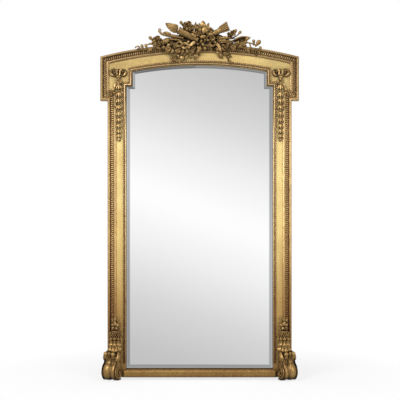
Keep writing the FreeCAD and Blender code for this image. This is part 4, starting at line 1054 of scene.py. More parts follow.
def make_bouquet():
    """The flowers over the crossing."""
    pieces = [
        flower(ROSE, 188, 26.2, 84, 5.2, 20, (8, -10)),
        seen_leaf((204, 28.8), (203.2, 24.6), (203, 20.8), 2.7, (86, 94, 92), cup=4),
        seen_leaf((204.4, 28.6), (207.4, 26.4), (208.7, 23), 1.6, (86, 90, 84)),
        seen_leaf((205, 29), (208.8, 28.2), (212, 28.5), 1.5, (86, 90, 84)),
        seen_leaf((203.6, 28.2), (200.6, 26), (198.9, 23.2), 1.4, (84, 90, 86)),
        seen_leaf((203, 27.2), (205, 29.8), (208.6, 31), 2.8, (92, 98, 92), cup=4),
        seen_leaf((203, 28.8), (200.4, 29.6), (198.2, 31.4), 1.7, (88, 92, 86)),
        seen_leaf((204, 29), (203, 32), (203.4, 34.4), 1.7, (88, 93, 86)),
        flower(ROSETTE, 203.8, 28, 92, 1.3),
        flower(FLORET, 212.4, 38.2, 92, 3.2, 15, (6, 6)),
        seen_leaf((199, 31), (198.2, 27.6), (197.2, 24.2), 1.5, (80, 84, 80)),
        seen_leaf((194.6, 30), (197.4, 28.8), (199.8, 27.2), 1.6, (78, 82, 80)),
        seen_leaf((210, 31), (212, 29.6), (213.4, 31.6), 1.4, (80, 84, 80)),
        flower(FLORET, 209, 32.4, 86, 3.4, 40, (10, 14)),
        flower(ROSE, 202, 31.4, 88, 3.6, 70, (10, 0)),
        flower(FLORET, 197.4, 33.6, 88, 3.0, 0, (8, -6)),
        seen_knob((183, 26), (180.2, 20.8), 82),
        seen_knob((199, 44), (202.4, 39.4), 72, 14),
        seen_knob((203.6, 43), (205.8, 38), 72, 14),
        seen_leaf((196, 31), (195.4, 26.4), (195.8, 22.2), 1.3, (80, 88, 86)),
        seen_leaf((193, 31), (192.8, 28), (194.2, 24.8), 1.2, (80, 86, 84)),
        seen_leaf((199, 36), (203, 36.6), (207, 35.2), 1.9, (84, 92, 88), cup=4, lobes=3),
        seen_leaf((198.5, 35), (194.6, 32.6), (191.6, 31.4), 1.5, (86, 94, 92), cup=4, lobes=3),
        seen_leaf((196.5, 38), (193.4, 35.2), (190.2, 33), 1.6, (92, 98, 95), lobes=3),
        seen_leaf((206, 33.5), (210, 34.8), (214, 33.6), 2.2, (84, 92, 88), cup=4, lobes=3),
        seen_stalk([(184, 30, 74), (183.4, 27, 78), (182.6, 25, 82)], 4, 3),
        seen_stalk([(201, 40, 70), (204, 32, 82), (205, 26, 88)], 9, 6),
        seen_stalk([(196, 38, 70), (191, 31, 78), (188, 27, 84)], 9, 6),
    ]
    gild("bouquet", DEEP_GILT, pieces, "crest_bouquet")


RIBBON_STEPS = 12


def make_ribbon():
    """The ribbon that ties the trophy: loops, a strap under the torch and two tails."""
    def loop(right, down, wide, tall, lean):
        points = []
        for step in range(RIBBON_STEPS + 1):
            angle = 2 * math.pi * step / RIBBON_STEPS
            points.append(seen(right + wide * math.cos(angle), down + tall * math.sin(angle),
                               89 + 4 * math.sin(angle * 2)))
        return ribbon(points, 6, lean, 0.5, wall=3, steps=26)
    pieces = [
        loop(212.6, 43.4, 2.9, 2.3, 40),
        loop(210, 38, 3.6, 2.2, 55),
        loop(184.8, 45.4, 3.0, 2.3, 22),
        loop(179.2, 43.9, 2.6, 2.0, 35),
        ribbon([seen(187.6, 47.6, 84), seen(190.6, 45, 92), seen(194.8, 41.6, 92)], 7, 5, 0.2, wall=3),
        ribbon([seen(200, 41, 72), seen(203.5, 44.6, 74), seen(206.5, 49, 66)], 5.5, 25, 0.4),
        ribbon([seen(214, 41.5, 76), seen(218, 45, 80), seen(220.5, 49.4, 76)], 8, 5, 0.3),
        ribbon([seen(216, 38, 76), seen(222, 41.6, 82), seen(231, 42.6, 78)], 6, 20, 0.3),
        ribbon([seen(178, 45.2, 72), seen(173, 43.8, 78), seen(167, 45.6, 74)], 6, 15, 0.4),
    ]
    gild("ribbon", DROP_GILT, pieces, "crest_ribbon")


def make_big_rose():
    """The large rose on the left, with the curled horn above it and its stem."""
    pieces = [
        flower(ROSE, 157.4, 41.2, 74, 5.4, 30, (-8, -14)),
        seen_leaf((160, 44), (163.6, 41.6), (165.6, 38.4), 2.2, (72, 80, 76), cup=4, lobes=3),
        seen_leaf((156, 45), (158.4, 47.6), (162, 48.8), 1.5, (66, 75, 68)),
        seen_leaf((161, 45), (163.6, 47.2), (166.6, 48.2), 1.6, (66, 76, 70)),
        seen_stalk([(154.4, 48.6, 67), (153.2, 44.4, 71), (152.2, 40.4, 75)], 5, 4),
        seen_knob((152.9, 41), (148.9, 36.2), 75),
        seen_leaf((153.4, 44.4), (150.6, 43.6), (147.4, 44.7), 1.0, (71, 74, 72), cup=2),
        seen_stalk([(187, 38.6, 72), (176, 36.4, 76), (166.5, 35, 78), (161.5, 33.6, 76), (159, 31, 76),
                    (158.6, 29.4, 78)], 11, 4),
        seen_stalk([(158.6, 29.6, 78), (159.6, 28.8, 80), (161, 30, 82), (160.6, 31, 84)], 4, 3),
        seen_stalk([(183, 41, 70), (174, 39.4, 74), (166, 39.6, 74)], 9, 6),
        seen_leaf((172, 36.4), (167.6, 33.6), (163.6, 32.4), 1.9, (76, 84, 80), cup=4),
        seen_leaf((170, 38), (166.6, 40.6), (165.4, 44.2), 2.2, (74, 82, 78), cup=4, lobes=3),
    ]
    gild("big_rose", DEEP_GILT, pieces, "crest_rose")


def make_left_spray():
    """Buds and curled leaves that run down the head's top edge on the left."""
    pieces = [
        seen_stalk([(161, 46.8, 66), (152, 48.2, 66), (144, 49.6, 66), (137.5, 50.4, 65)], 4, 3),
        seen_knob((143.4, 49.8), (141.2, 44), 68, 5),
        seen_knob((147.4, 49.2), (145.1, 43.6), 68, 5),
        seen_stalk([(140, 49.8, 66), (139.4, 47.2, 71), (137.2, 46.2, 73), (134.5, 48, 70)], 5, 3.4),
        flower(FLORET, 138.4, 49.8, 66, 1.8, 20),
        flower(FLORET, 143.4, 50, 66, 1.4, 45),
        seen_leaf((152.6, 49), (149.6, 50), (146.6, 50.5), 1.1, (66, 71, 65), cup=2),
        flower(FLORET, 154.6, 49.4, 66, 1.5, 10),
        flower(FLORET, 160.6, 49.6, 66, 1.6, 30),
    ]
    gild("spray_left", DEEP_GILT, pieces, "left_spray")


def make_right_spray():
    """Flowers, buds and leaves on the right, and the twig with buds that stands off the head."""
    pieces = [
        flower(FLORET, 232.6, 33.2, 82, 3.4, 20, (6, 10)),
        flower(FLORET, 229, 34.2, 80, 2.4, 50, (4, 0)),
        seen_stalk([(231.6, 38.6, 66), (231.4, 35.8, 74), (232.4, 33.6, 84)], 4, 3),
        seen_stalk([(230.6, 38.2, 66), (229.2, 36, 76), (229, 34.6, 82)], 3.4, 3),
        seen_knob((233, 33.4), (236.8, 29.2), 82),
        seen_knob((237.6, 35), (241.3, 30.8), 77),
        seen_leaf((233.6, 41), (241, 40.2), (249.4, 37.2), 3.3, (70, 76, 76), cup=-14, steps=14),
        seen_stalk([(233.6, 40.6, 72), (241, 36.8, 77), (249.6, 37, 77)], 5, 3),
        seen_stalk([(232.8, 42, 70), (241, 43.2, 77), (247, 39.9, 78), (249.6, 37, 77)], 5, 3),
        seen_stalk([(237, 44.8, 66), (243.6, 43.6, 76), (247.6, 40.4, 77)], 4.4, 3),
        seen_leaf((244.6, 39.6), (247.4, 38.6), (250.3, 37.4), 1.5, (74, 80, 76)),
        seen_leaf((216, 39), (225, 37.8), (234.6, 38.4), 1.8, (74, 84, 78), cup=4, lobes=4, steps=16),
        seen_leaf((216, 41), (224, 40.8), (233, 41.6), 1.7, (76, 84, 78), cup=4, lobes=4, steps=16),
        seen_leaf((236.6, 45), (240.4, 45.8), (244.4, 47.6), 1.5, (66, 75, 68)),
        seen_leaf((241.6, 44.2), (244.8, 45.2), (246.2, 47.6), 1.5, (70, 75, 66)),
        seen_leaf((243, 46.8), (245.6, 48.2), (247.6, 50.6), 1.3, (66, 73, 65)),
        seen_leaf((246.4, 48), (248.6, 50.6), (250.4, 52.6), 1.1, (66, 71, 62), cup=2),
        seen_stalk([(236, 44, 67), (242.4, 43.8, 72), (248.4, 42.6, 74), (255.4, 44.9, 74)], 5, 3.5),
        seen_stalk([(249.4, 42.9, 74), (250.6, 46.4, 71), (252, 49.6, 66), (253.2, 53.6, 54)], 4, 3),
        seen_stalk([(231, 38.4, 66), (236.6, 35.8, 74), (239, 33.6, 78)], 4, 2.6),
        seen_knob((253.9, 45), (253.6, 39.2), 74),
        seen_knob((255, 46.8), (260.4, 40), 74, 4),
        flower(FLORET, 254, 44.4, 74, 1.4, 0),
        seen_knob((259.4, 51.4), (260.7, 46), 65, 4),
        seen_stalk([(251.6, 49, 67), (256, 50.4, 66), (260.4, 51.8, 65)], 3.4, 3),
        flower(FLORET, 256, 50, 66, 1.7, 40),
        flower(FLORET, 256.3, 54.2, 46.8, 1.8, 10),
    ]
    gild("spray_right", DEEP_GILT, pieces, "right_spray")


GOLDEN_TURN = 137.508


def head_fall(right):
    """How far the arch has fallen, in pixels, at a place along it."""
    across = (right - PHOTO_MIDDLE) * PIXEL
    return (ARCH_RADIUS - math.sqrt(ARCH_RADIUS ** 2 - across ** 2)) / PIXEL


def halfway(first, last, shift):
    """The place halfway between two places in the photograph, shifted sideways."""
    return ((first[0] + last[0]) / 2 + shift, (first[1] + last[1]) / 2)


# The hanging leaves and the fringe: how many, and between which places along the head
HANGING_LEAVES = 16
HANGING_FROM = 166
HANGING_TO = 224
FRINGE_LEAVES = 7
FRINGE_FROM = 167
FRINGE_TO = 198

# Places along the head that stay free, for the hanging leaves and for the rows above them
HANGING_GAP = (205, 212)
ROW_GAP = (204, 211)


def make_undergrowth():
    """Leaves and small flowers that fill the crest between its larger pieces."""
    pieces = []
    rows = [
        # first and last place along the head, how far down the row stands, how many leaves, half width
        (157, 240, 46.4, 15, 1.6),
        (163, 238, 42.6, 10, 1.7),
        (172, 228, 38.6, 6, 1.7),
    ]
    for step in range(HANGING_LEAVES):
        right = HANGING_FROM + (HANGING_TO - HANGING_FROM) * step / (HANGING_LEAVES - 1)
        if HANGING_GAP[0] < right < HANGING_GAP[1]:
            continue
        sway = math.radians(GOLDEN_TURN * step)
        lean = (right - PHOTO_MIDDLE) / 34
        edge = head_fall(right)
        base = (right - lean * 1.4, 45.4 + edge)
        tip = (right + lean * 2.2 + 1.4 * math.cos(sway), 51.6 + edge + 1.2 * math.sin(sway))
        fronts = (64, 74 + 3 * math.sin(sway), 65)
        middle = halfway(base, tip, 0.8 * math.sin(sway))
        pieces.append(seen_leaf(base, middle, tip, 1.6, fronts, turn=25 * math.cos(sway)))
    for first, last, down, count, half in rows:
        for step in range(count):
            right = first + (last - first) * step / (count - 1)
            if ROW_GAP[0] < right < ROW_GAP[1]:
                continue
            sway = math.radians(GOLDEN_TURN * step)
            lean = (right - PHOTO_MIDDLE) / 30
            base = (right - lean * 2.4, min(down + 2.6, 45.6 + head_fall(right)))
            tip = (right + lean * 2.6 + 1.5 * math.cos(sway), down - 3.1 + 1.2 * math.sin(sway))
            rise = 73 + 5 * math.sin(sway * 2)
            fronts = (63, rise, rise - 3 + 5 * math.cos(sway))
            middle = halfway(base, tip, math.sin(sway))
            pieces.append(seen_leaf(base, middle, tip, half, fronts, turn=30 * math.sin(sway)))
    for step in range(FRINGE_LEAVES):
        right = FRINGE_FROM + (FRINGE_TO - FRINGE_FROM) * step / (FRINGE_LEAVES - 1)
        sway = math.radians(GOLDEN_TURN * step + 40)
        tip = (right - 1.6 + 1.2 * math.cos(sway), 54.2 + 0.8 * math.sin(sway))
        pieces.append(seen_leaf((right + 0.6, 45.8), (right - 0.2, 50.6), tip, 1.7, (63, 75, 63),
                                turn=20 * math.sin(sway)))
    for right, down, radius in ((168, 48.7, 2.8), (178.4, 50.5, 2.2), (233.1, 46.6, 2.8)):
        pieces.append(flower(ROSETTE, right, down, 80, radius))
        pieces.append(stem_behind(right, down, 82, FLAT))
    for right, down, radius in ((175.4, 46.4, 2.4), (188.6, 48.6, 2.2), (193.4, 48.4, 2.4),
                                (225.8, 46.4, 2.4), (218, 37.6, 2.2), (209.4, 47, 2), (171.4, 42.6, 2)):
        pieces.append(flower(FLORET, right, down, 78, radius, GOLDEN_TURN * right))
        pieces.append(stem_behind(right, down, 80, FLAT))
    gild("undergrowth", DEEP_GILT, pieces)


def make_flower_drops():
    """The flowers and leaves that hang over the flat of the head."""
    left = [
        flower(FLORET, 173.6, 58, 52, 3.3, 10, (0, -6)),
        stem_behind(173.6, 58, 54, 41),
        seen_leaf((173.6, 59), (171.8, 60.4), (171.4, 62.8), 1.1, (52, 56, 47), cup=2),
        seen_leaf((174.6, 59), (176.4, 60.2), (177, 62), 1.0, (52, 56, 48), cup=2),
        seen_leaf((178.6, 53.4), (178.2, 56), (177.6, 58.6), 1.3, (52, 56, 47)),
        seen_leaf((182.4, 54.6), (181.9, 57.6), (181.6, 61), 1.9, (50, 57, 47)),
        seen_leaf((187.8, 54.4), (186.2, 57), (184.4, 59.6), 1.2, (52, 57, 47)),
        seen_leaf((189.6, 55.4), (190.8, 57), (190.6, 59), 0.9, (50, 54, 47), cup=2),
        seen_leaf((195.8, 52.6), (195.8, 56), (194.4, 59.4), 2.0, (54, 57, 46)),
        seen_leaf((197, 52), (199, 53.6), (199.8, 55.6), 1.2, (52, 55, 47)),
        seen_stalk([(172, 58, 48), (178, 55.4, 50), (184, 55.6, 50), (189, 55.6, 50), (197, 51.6, 54)], 4, 4),
        seen_stalk([(197, 51.6, 54), (196, 48, 60), (195, 45.6, 64)], 4, 4),
        seen_stalk([(178.4, 54.6, 50), (178.4, 51, 56), (178, 47, 64)], 4, 4),
    ]
    gild("drop_left", DROP_GILT, left, "left_flower_drop")
    right = [
        seen_leaf((219.2, 49.4), (219.8, 54), (222.4, 58.4), 3.2, (60, 58, 47), cup=5, lobes=3, steps=14),
        seen_leaf((222, 51.6), (226, 53.2), (229.8, 54.6), 2.2, (58, 58, 50), cup=4, lobes=3),
        seen_leaf((226.6, 57.6), (229, 56.4), (231.8, 56.6), 1.1, (48, 54, 47), cup=2),
        seen_leaf((228.4, 60.4), (229.9, 61.4), (230.8, 62.8), 0.9, (46, 51, 46), cup=2),
        seen_leaf((228.8, 61.8), (231, 62.7), (233.2, 62.4), 0.9, (46, 51, 46), cup=2),
        seen_stalk([(221, 50, 58), (225, 53.6, 54), (227.4, 57.6, 47), (229.6, 63, 45)], 4, 2.8),
        seen_stalk([(221, 50.4, 58), (220.4, 47.4, 62), (220, 45, 64)], 5, 5),
    ]
    gild("drop_right", DEEP_GILT, right, "right_flower_drop")


# Corners: a ribbon bow over a string of husks
BOW_UP = 1662
KNOT_UP = BOW_UP - 27
OUTER_LOOP = 472
MIDDLE_LOOP = 446
INNER_LOOP = 421
HUSK_ACROSS = 443.5
LOOP_STEPS = 16


def bow_loop(across, up, wide, tall, first, half, lean, stand, tip=0):
    """A loop of the bow; tip pinches its outer end, or its inner end if it is negative."""
    points = []
    for step in range(LOOP_STEPS + 1):
        angle = 2 * math.pi * step / LOOP_STEPS + first
        pinched = 1 - abs(tip) * max(0, math.copysign(1, tip) * math.cos(angle))
        points.append(at(across + wide * math.cos(angle), stand + 2 * math.sin(2 * angle),
                         up + tall * pinched * math.sin(angle)))
    return ribbon(points, half, lean, 0.55, wall=3.4, steps=32)


def sunk(across, up, wide, tall, rise=3):
    """A low oval on the flat, a dark sheet for the painted shade in a loop and the dirt and shade round it.
    """
    oval = moved(turned([(0, 1), (rise * 0.6, 1), (rise, 0.8)], 16), Matrix.Diagonal((wide, tall, 1, 1)))
    return moved(oval, stood(across, FLAT, up, 1))


def by_knot(aside, front, down):
    """A point of the tails, from the line of the husks and down from the knot."""
    return at(HUSK_ACROSS + aside, front, KNOT_UP - down)


def make_bow():
    """The bows: two wide loops, a small one between them, the knot and two tails."""
    # Painted shade: near-black ovals inside the loops; the wider grounds round them are dirt and painted
    # shade
    hollows = [
        sunk(OUTER_LOOP - 3, BOW_UP, 16, 15),
        sunk(INNER_LOOP + 1, BOW_UP, 12, 15),
        sunk(MIDDLE_LOOP, BOW_UP, 8, 15),
    ]
    grounds = [
        sunk(OUTER_LOOP + 1, BOW_UP - 2, 27, 24, 1),
        sunk(INNER_LOOP - 1, BOW_UP - 2, 22, 24, 1.2),
        sunk(MIDDLE_LOOP, BOW_UP - 2, 14, 24, 1.4),
    ]
    pieces = [
        bow_loop(OUTER_LOOP, BOW_UP, 20, 19, 0.4, 4.2, 28, 55, 0.5),
        bow_loop(INNER_LOOP, BOW_UP, 15, 18, 1.2, 4, 28, 55, -0.4),
        bow_loop(MIDDLE_LOOP, BOW_UP - 1, 9, 17, 0.8, 3.8, 20, 58),
        bow_loop(OUTER_LOOP + 3, BOW_UP + 1, 9, 11, 0.9, 3.4, 60, 49),
        bow_loop(INNER_LOOP - 4, BOW_UP - 2, 6, 9, 1.7, 3, 60, 49),
        bow_loop(HUSK_ACROSS - 1, KNOT_UP - 26, 9, 12, 0.3, 5, 25, 54),
        stalk([at(MIDDLE_LOOP - 9, 52, KNOT_UP + 5), at(MIDDLE_LOOP, 57, KNOT_UP + 1),
               at(MIDDLE_LOOP + 9, 52, KNOT_UP + 5)], 7, 7),
        stalk([at(MIDDLE_LOOP, 52, KNOT_UP), by_knot(0, 54, 12), by_knot(0, 50, 18)], 6, 5),
        ribbon([by_knot(0, 52, 14), by_knot(22, 55, 44), by_knot(36, 54, 86)], 6, 12, 0.4, wall=3.2),
        leaf([by_knot(4, 48, 14), by_knot(12, 54, 26), by_knot(10, 48, 42)], 6),
        leaf([by_knot(-2, 48, 14), by_knot(-12, 54, 22), by_knot(-10, 48, 36)], 6),
    ]
    for aside, rise, half in ((30, 2, 6), (-18, -8, 6), (6, -22, 5), (14, 14, 5), (-10, 12, 5)):
        pieces.append(leaf([
            by_knot(38, 50, 84),
            by_knot(38 + aside * 0.55, 57, 82 - rise * 0.55),
            by_knot(38 + aside, 52, 84 - rise),
        ], half, wall=2.6))
    pieces.append(pointing(BUD, by_knot(34, 54, 82), by_knot(44, 58, 88)))
    both_sides("bow_{}", BOW_GILT, pieces, "{}_bow")
    both_sides("bow_hollows_{}", LOOP_SHADE_GILT, hollows)
    both_sides("bow_ground_{}", LIP_SHADE_GILT, grounds)


HUSK_TOPS = [1601, 1560, 1525, 1489, 1452, 1418, 1386, 1355, 1329]
HUSK_END = HUSK_TOPS[-1]
HUSK_LONG = 42
HUSK_SHORT = 33
SIDE_LEAF_UP = HUSK_TOPS[3] - 16


def on_string(front, up, aside=0):
    return at(HUSK_ACROSS + aside, front, up)


def make_husks():
    """The string of husks, each a little smaller than the one above it, with a bud for its end."""
    pieces = []
    last = len(HUSK_TOPS) - 1
    for number, up in enumerate(HUSK_TOPS):
        scale = HUSK_LONG + (HUSK_SHORT - HUSK_LONG) * number / last
        pieces.append(copy_to(HUSK, stood(HUSK_ACROSS, FLAT, up, scale * MM)))
    pieces.append(pointing(BUD, on_string(52, HUSK_END - 24), on_string(46, HUSK_END - 48)))
    pieces.append(leaf([on_string(48, SIDE_LEAF_UP, 6), on_string(54, SIDE_LEAF_UP + 4, 20),
                        on_string(48, SIDE_LEAF_UP + 2, 33)], 6))
    cord = [on_string(46, up) for up in (HUSK_TOPS[0], HUSK_TOPS[4], HUSK_END - 20)]
    pieces.append(stalk(cord, 4, 3, 24))
    both_sides("husks_{}", MID_GILT, pieces, "{}_husk_drop")


# Feet: a canted scroll, acanthus on its neck, a woven cup and its flowers
SCROLL_ACROSS = 481
SCROLL_FRONT = 66
SCROLL_CANT = 24
SCROLL_RADIUS = 44
SCROLL_HALF = 40
VOLUTE_UP = FLOOR + SCROLL_RADIUS
SHOULDER_UP = 98
CHANNEL_DEPTH = 11
SCROLL_FACE = [
    # out and up, from under the neck round the volute to the heel
    (14, 130), (24, 122), (25, 108), (18, 94), (15, 82), (20, 70), (31, 60), (39, 48), (43.5, 34), (44, 20),
    (41, 4), (33, -10), (20, -20), (4, -24.4), (-14, -24.4), (-34, -24.4),
]


# How far back and between which heights the cheeks run, and how far a foot stands off the flat at least
CHEEK_BACK = -30
CHEEK_LOW = -20
CHEEK_HIGH = 128
FOOT_PROUD = 0.2


def on_foot(out, side, up):
    """A point of the right foot: out along its canted face, sideways to its outer side, up."""
    cant = math.radians(SCROLL_CANT)
    across = SCROLL_ACROSS + out * math.sin(cant) + side * math.cos(cant)
    front = SCROLL_FRONT + out * math.cos(cant) - side * math.sin(cant)
    return at(across, max(front, FLAT + FOOT_PROUD), up)


def face_lift(share):
    """The scroll's face across its width: a rib, a channel and a broader rib."""
    best = 0
    for middle, half in ((-0.66, 0.33), (0.4, 0.5)):
        reach = abs(share - middle) / half
        if reach < 1:
            best = max(best, math.sqrt(1 - reach * reach))
    return best * CHANNEL_DEPTH - CHANNEL_DEPTH


def half_width(share):
    """Half the scroll's width, which spreads from its top."""
    return SCROLL_HALF * (0.66 + 0.34 * math.sin(math.pi / 2 * min(1, share / 0.16)))


def spiral(out, up, side, first, turn, radius, shrink, steps):
    """A spiral on the foot's side: its first angle and radius, and its turn and shrinkage at each step."""
    points = []
    for step in range(steps):
        angle = math.radians(first + turn * step)
        reach = radius - shrink * step
        points.append(on_foot(out + reach * math.cos(angle), side, up + reach * math.sin(angle)))
    return points


def make_scroll():
    """The scrolls: a ribbed face, two sides with spirals and eyes, leaves on the top and the inner side."""
    face = [Vector((out, 0, up)) for out, up in SCROLL_FACE]

    def place(u, v):
        run = run_of(face, v)
        outward = Vector((-run.z, 0, run.x))
        fade = min(1, 6 * v, 5 * (1 - v))
        spot = bend_through(face, v) + outward * face_lift(u) * fade
        return on_foot(spot.x, u * half_width(v), max(spot.z, FLOOR))

    def cheek(side):
        def place_side(u, v):
            edge = bend_through(face, v)
            inner = Vector((CHEEK_BACK, 0, min(max(edge.z, CHEEK_LOW), CHEEK_HIGH)))
            spot = inner.lerp(edge, (u + 1) / 2)
            return on_foot(spot.x, side * half_width(v), max(spot.z, FLOOR))
        return surface(6, 40, place_side)
    pieces = [surface(42, 40, place), cheek(1), cheek(-1)]
    for side in (-1, 1):
        volute = spiral(0, VOLUTE_UP, side * (SCROLL_HALF + 1.5), 70, -27, 38, 1.15, 29)
        pieces.append(stalk(volute, 5, 3.4, 60))
        pieces.append(pointing(BUD, on_foot(-2, side * 38, VOLUTE_UP), on_foot(-2, side * 50, VOLUTE_UP)))
        shoulder = spiral(8, SHOULDER_UP, side * (SCROLL_HALF - 3), -60, 30, 17, 0.9, 15)
        pieces.append(stalk(shoulder, 5, 3.5, 40))
    for side, reach, half in ((-25, 42, 11), (-3, 24, 10), (18, 40, 13)):
        curl = ((4, 134), (28, 126), (33, 134 - reach * 0.55), (26, 134 - reach), (36, 130 - reach))
        points = [on_foot(out, side, up) for out, up in curl]
        pieces.append(leaf(points, half, 4, 3, wall=3, steps=26, veins=6))
    for out, up, half in ((30, 86, 8), (14, 70, 8), (-4, 74, 7)):
        pieces.append(leaf([
            on_foot(2, -SCROLL_HALF - 1, 132),
            on_foot(out * 0.7, -SCROLL_HALF - 7, (132 + up) / 2),
            on_foot(out, -SCROLL_HALF - 2, up),
        ], half, lobes=3, wall=3, turn=50))
    both_sides("scroll_{}", FOOT_GILT, pieces, "{}_foot_scroll")


NECK_ACROSS = (NECK["left"] + NECK["right"]) / 2
NECK_FRONT = 64
NECK_PROUD = 0.3


def round_neck(turn, radius, up):
    """A point round the neck; turn is in degrees from straight ahead, outwards."""
    angle = math.radians(turn)
    front = NECK_FRONT + radius * math.cos(angle)
    return at(NECK_ACROSS + radius * math.sin(angle), max(front, FLAT + NECK_PROUD), up)


def neck_leaf(turn, places, half, **shape):
    """A leaf on the neck or the cup, through places of a radius and a height."""
    return leaf([round_neck(turn, radius, up) for radius, up in places], half, **shape)


def neck_core(stations, up, around):
    return moved(turned(stations, around), Matrix.Translation(at(NECK_ACROSS, NECK_FRONT, up)))


def make_neck():
    """Acanthus on the neck: leaves that lie on it and curl out at their tips, over a turned core."""
    low, high = NECK["low"], NECK["high"]
    pieces = [neck_core([(0, 26), (8, 24), (30, 19), (52, 20), (high - low, 24)], low, 20)]
    lower = ((24, high - 4), (23, high - 24), (25, low + 22), (34, low + 4), (38, low + 12))
    for turn in (-84, -50, -17, 17, 50, 84):
        pieces.append(neck_leaf(turn, lower, 10, lobes=3, steps=20))
    upper = ((26, high - 2), (28, high - 18), (34, high - 30), (36, high - 24))
    for turn in (-34, 0, 34):
        pieces.append(neck_leaf(turn, upper, 8, lobes=2, steps=16))
    both_sides("neck_{}", FOOT_GILT, pieces, "{}_foot_leaf")


# The plait: strands in a row and the degrees they go round, and the rows with their first height and pitch
STRANDS = 8
STRAND_TURN = 192
STRAND_ROWS = 3
FIRST_ROW = 12
ROW_PITCH = 11


def make_cup():
    """The woven cup: a rolled rim at its foot, then rows of plaited strands."""
    low, high = CUP["low"], CUP["high"]
    pieces = [neck_core([
        (0, 24), (1, 28), (4, 29.5), (7, 28), (8, 20), (20, 18), (34, 19.5), (high - low - 2, 24),
        (high - low, 23),
    ], low, 24)]
    for row in range(STRAND_ROWS):
        for step in range(STRANDS):
            turn = STRAND_TURN * (step + (row % 2) * 0.5) / STRANDS - STRAND_TURN / 2
            up = low + FIRST_ROW + row * ROW_PITCH
            pieces.append(stalk([
                round_neck(turn - 10, 23, up - 4),
                round_neck(turn, 28.5, up + 3),
                round_neck(turn + 11, 23.5, up + 10),
            ], 2.6, 2.6, 6))
    for turn in (-70, -35, 0, 35, 70):
        pieces.append(neck_leaf(turn, ((24, low + 2), (32, low + 6), (33, low + 15)), 9))
    both_sides("cup_{}", FOOT_GILT, pieces, "{}_foot_cup")


def make_foot_flowers():
    """Flowers and leaf tips that stand in the cup."""
    base = CUP["high"]
    across = NECK_ACROSS - 6
    petals = [
        # aside, up and front of the root, the middle and the tip, then the half width
        ((0, 18, 72), (4, 31, 84), (6, 49, 79), 8.5),
        ((0, 18, 74), (-9, 25, 84), (-22, 32, 78), 6.5),
        ((2, 18, 74), (-2, 11, 86), (-8, 3, 81), 7.5),
        ((4, 20, 72), (15, 27, 80), (24, 37, 73), 6.5),
        ((4, 16, 72), (14, 12, 80), (22, 8, 74), 6),
        ((2, 34, 68), (5, 56, 77), (0, 74, 70), 6.5),
        ((-2, 38, 68), (-10, 53, 75), (-18, 62, 69), 5),
        ((6, 36, 68), (17, 52, 75), (22, 64, 69), 5),
        ((-4, 12, 68), (-16, 12, 76), (-24, 16, 70), 5),
    ]
    stems = [
        # aside, up and front of the root, the middle and the tip, then the thickness at both ends
        ((0, -6, 64), (0, 14, 70), (2, 46, 70), 9, 4),
        ((-12, -4, 66), (-14, 4, 70), (-14, 11, 72), 6, 5),
        ((12, -4, 66), (15, 4, 70), (15, 11, 72), 6, 5),
    ]
    pieces = [copy_to(ROSETTE, stood(across, 78, base + 25, 6 * MM))]
    for *places, thick, thin in stems:
        points = [at(across + aside, front, base + up) for aside, up, front in places]
        pieces.append(stalk(points, thick, thin))
    for *places, half in petals:
        points = [at(across + aside, front, base + up + 6) for aside, up, front in places]
        pieces.append(leaf(points, half, 3.5, wall=2.6))
    both_sides("foot_flowers_{}", DROP_GILT, pieces, "{}_foot_flowers")


# Finishes on the sub-parts that show as they are
def finish_members():
    members = ("left_stile", "right_stile", "left_corner_block", "right_corner_block", "head_rail",
               "bottom_rail", "bottom_moulding")
    pine = ("joint_pegs", "plate_blocks", "left_back_board", "centre_back_board", "right_back_board",
            "upper_batten", "middle_batten", "lower_batten", "crest_brace")
    iron = ("left_hanger_plate", "right_hanger_plate", "left_hanger_ring", "right_hanger_ring")
    steel = ("batten_screws", "hanger_screws", "brace_screws")
    gold = member_gilding("member_gilding", (1, 0.79, 0.33), (0.80, 0.56, 0.21), (0.58, 0.37, 0.13))
    # Painted shade: near-black gold for the ground that shows between the crest's carvings
    dark = member_gilding("ground_gilding", (0.07, 0.042, 0.017), (0.035, 0.021, 0.009), (0.03, 0.018, 0.008))
    groups = (
        (members, gold),
        (("crest_ground",), dark),
        (pine, bare_pine()),
        (iron, blackened_iron()),
        (steel, screw_steel()),
        (("mirror_plate",), silvered_plate()),
    )
    for names, finish in groups:
        for name in names:
            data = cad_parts[name].data
            data.materials.clear()
            data.materials.append(finish)


# Floor, lamps and world
FLOOR_SIZE = 6


def make_floor():
    """White floor that fades out to the camera and is not seen in the plate."""
    clear()
    bpy.ops.mesh.primitive_plane_add(size=FLOOR_SIZE, location=(0, 0, FLOOR * MM))
    floor = bpy.context.object
    floor.name = "floor"
    finish, tree, coords = new_finish("floor_white")
    reach = put(tree, "ShaderNodeVectorMath", {0: coords["Object"]}, operation="LENGTH").outputs["Value"]
    fade = ramp(tree, work(tree, "MULTIPLY", reach, 0.45), (0.2, 0.72), (0.62, 1))
    path = put(tree, "ShaderNodeLightPath").outputs
    matt = put(tree, "ShaderNodeBsdfDiffuse", {"Color": (0.86, 0.86, 0.86, 1)})
    white = put(tree, "ShaderNodeEmission", {"Color": (1, 1, 1, 1), "Strength": 1})
    shown = mix_shaders(tree, work(tree, "MULTIPLY", path["Is Camera Ray"], fade), matt, white)
    whole = mix_shaders(tree, path["Is Glossy Ray"], shown, put(tree, "ShaderNodeBsdfTransparent"))
    floor.data.materials.append(coat(finish, whole))


def make_lamp(name, place, target, size, power):
    data = bpy.data.lights.new(name, "AREA")
    data.energy = power
    data.shape = "RECTANGLE"
    data.size = size[0]
    data.size_y = size[1]
    lamp = bpy.data.objects.new(name, data)
    lamp.location = place
    lamp.rotation_euler = (Vector(target) - Vector(place)).to_track_quat("-Z", "Y").to_euler()
    scene.collection.objects.link(lamp)


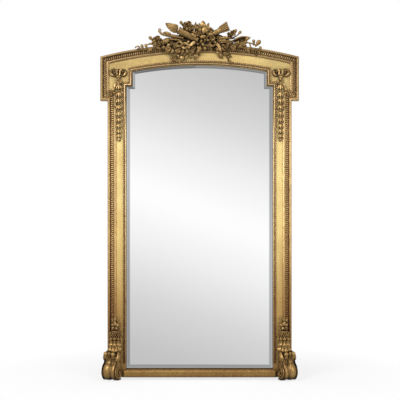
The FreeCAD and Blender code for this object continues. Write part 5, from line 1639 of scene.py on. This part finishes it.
SCREEN_SLOPE = 0.35
SCREEN_DROP = 0.011
SCREEN_REACH = 0.25


def make_world():
    """White to the camera; to gloss a pale screen ahead, brightest along a sloping line and dimmer off it."""
    world = bpy.data.worlds.new("studio")
    scene.world = world
    world.use_nodes = True
    tree = world.node_tree
    tree.nodes.clear()
    parts = apart(tree, put(tree, "ShaderNodeTexCoord").outputs["Generated"])
    slope = work(tree, "MULTIPLY", parts["X"], SCREEN_SLOPE)
    line = work(tree, "ADD", work(tree, "ADD", parts["Z"], slope), SCREEN_DROP)
    away = work(tree, "DIVIDE", work(tree, "ABSOLUTE", line), SCREEN_REACH)
    screen = ramp(tree, away, (0.03, 1), (0.19, 0.88), (0.38, 0.69), (0.56, 0.565), (1, 0.42))
    path = put(tree, "ShaderNodeLightPath").outputs
    soft = put(tree, "ShaderNodeBackground", {"Color": (0.96, 0.98, 1, 1), "Strength": 0.5})
    gloss = put(tree, "ShaderNodeBackground", {"Color": screen, "Strength": 1})
    white = put(tree, "ShaderNodeBackground", {"Color": (1, 1, 1, 1), "Strength": 1})
    lit = mix_shaders(tree, path["Is Glossy Ray"], soft, gloss)
    shown = work(tree, "MAXIMUM", path["Is Camera Ray"], path["Is Transmission Ray"])
    put(tree, "ShaderNodeOutputWorld", {"Surface": mix_shaders(tree, shown, lit, white).outputs[0]})


make_camera()
make_world()
make_lamp("key", (-2.2, -3.2, 3.0), (0, 0, 1.1), (1.4, 1.8), 110)
make_lamp("fill", (2.6, -3.4, 1.8), (0, 0, 1.0), (1.6, 2.2), 52)
make_lamp("top", (0.2, -1.2, 3.8), (0, 0, 1.4), (2.2, 0.8), 20)
make_floor()
make_mouldings()
make_torch()
make_flame()
make_quiver()
make_bouquet()
make_ribbon()
make_big_rose()
make_left_spray()
make_right_spray()
make_undergrowth()
make_flower_drops()
make_bow()
make_husks()
make_scroll()
make_neck()
make_cup()
make_foot_flowers()
drop(ROSE, FLORET, BUD, KNOB, ROSETTE, HUSK)
finish_members()

scene.view_settings.view_transform = "Standard"
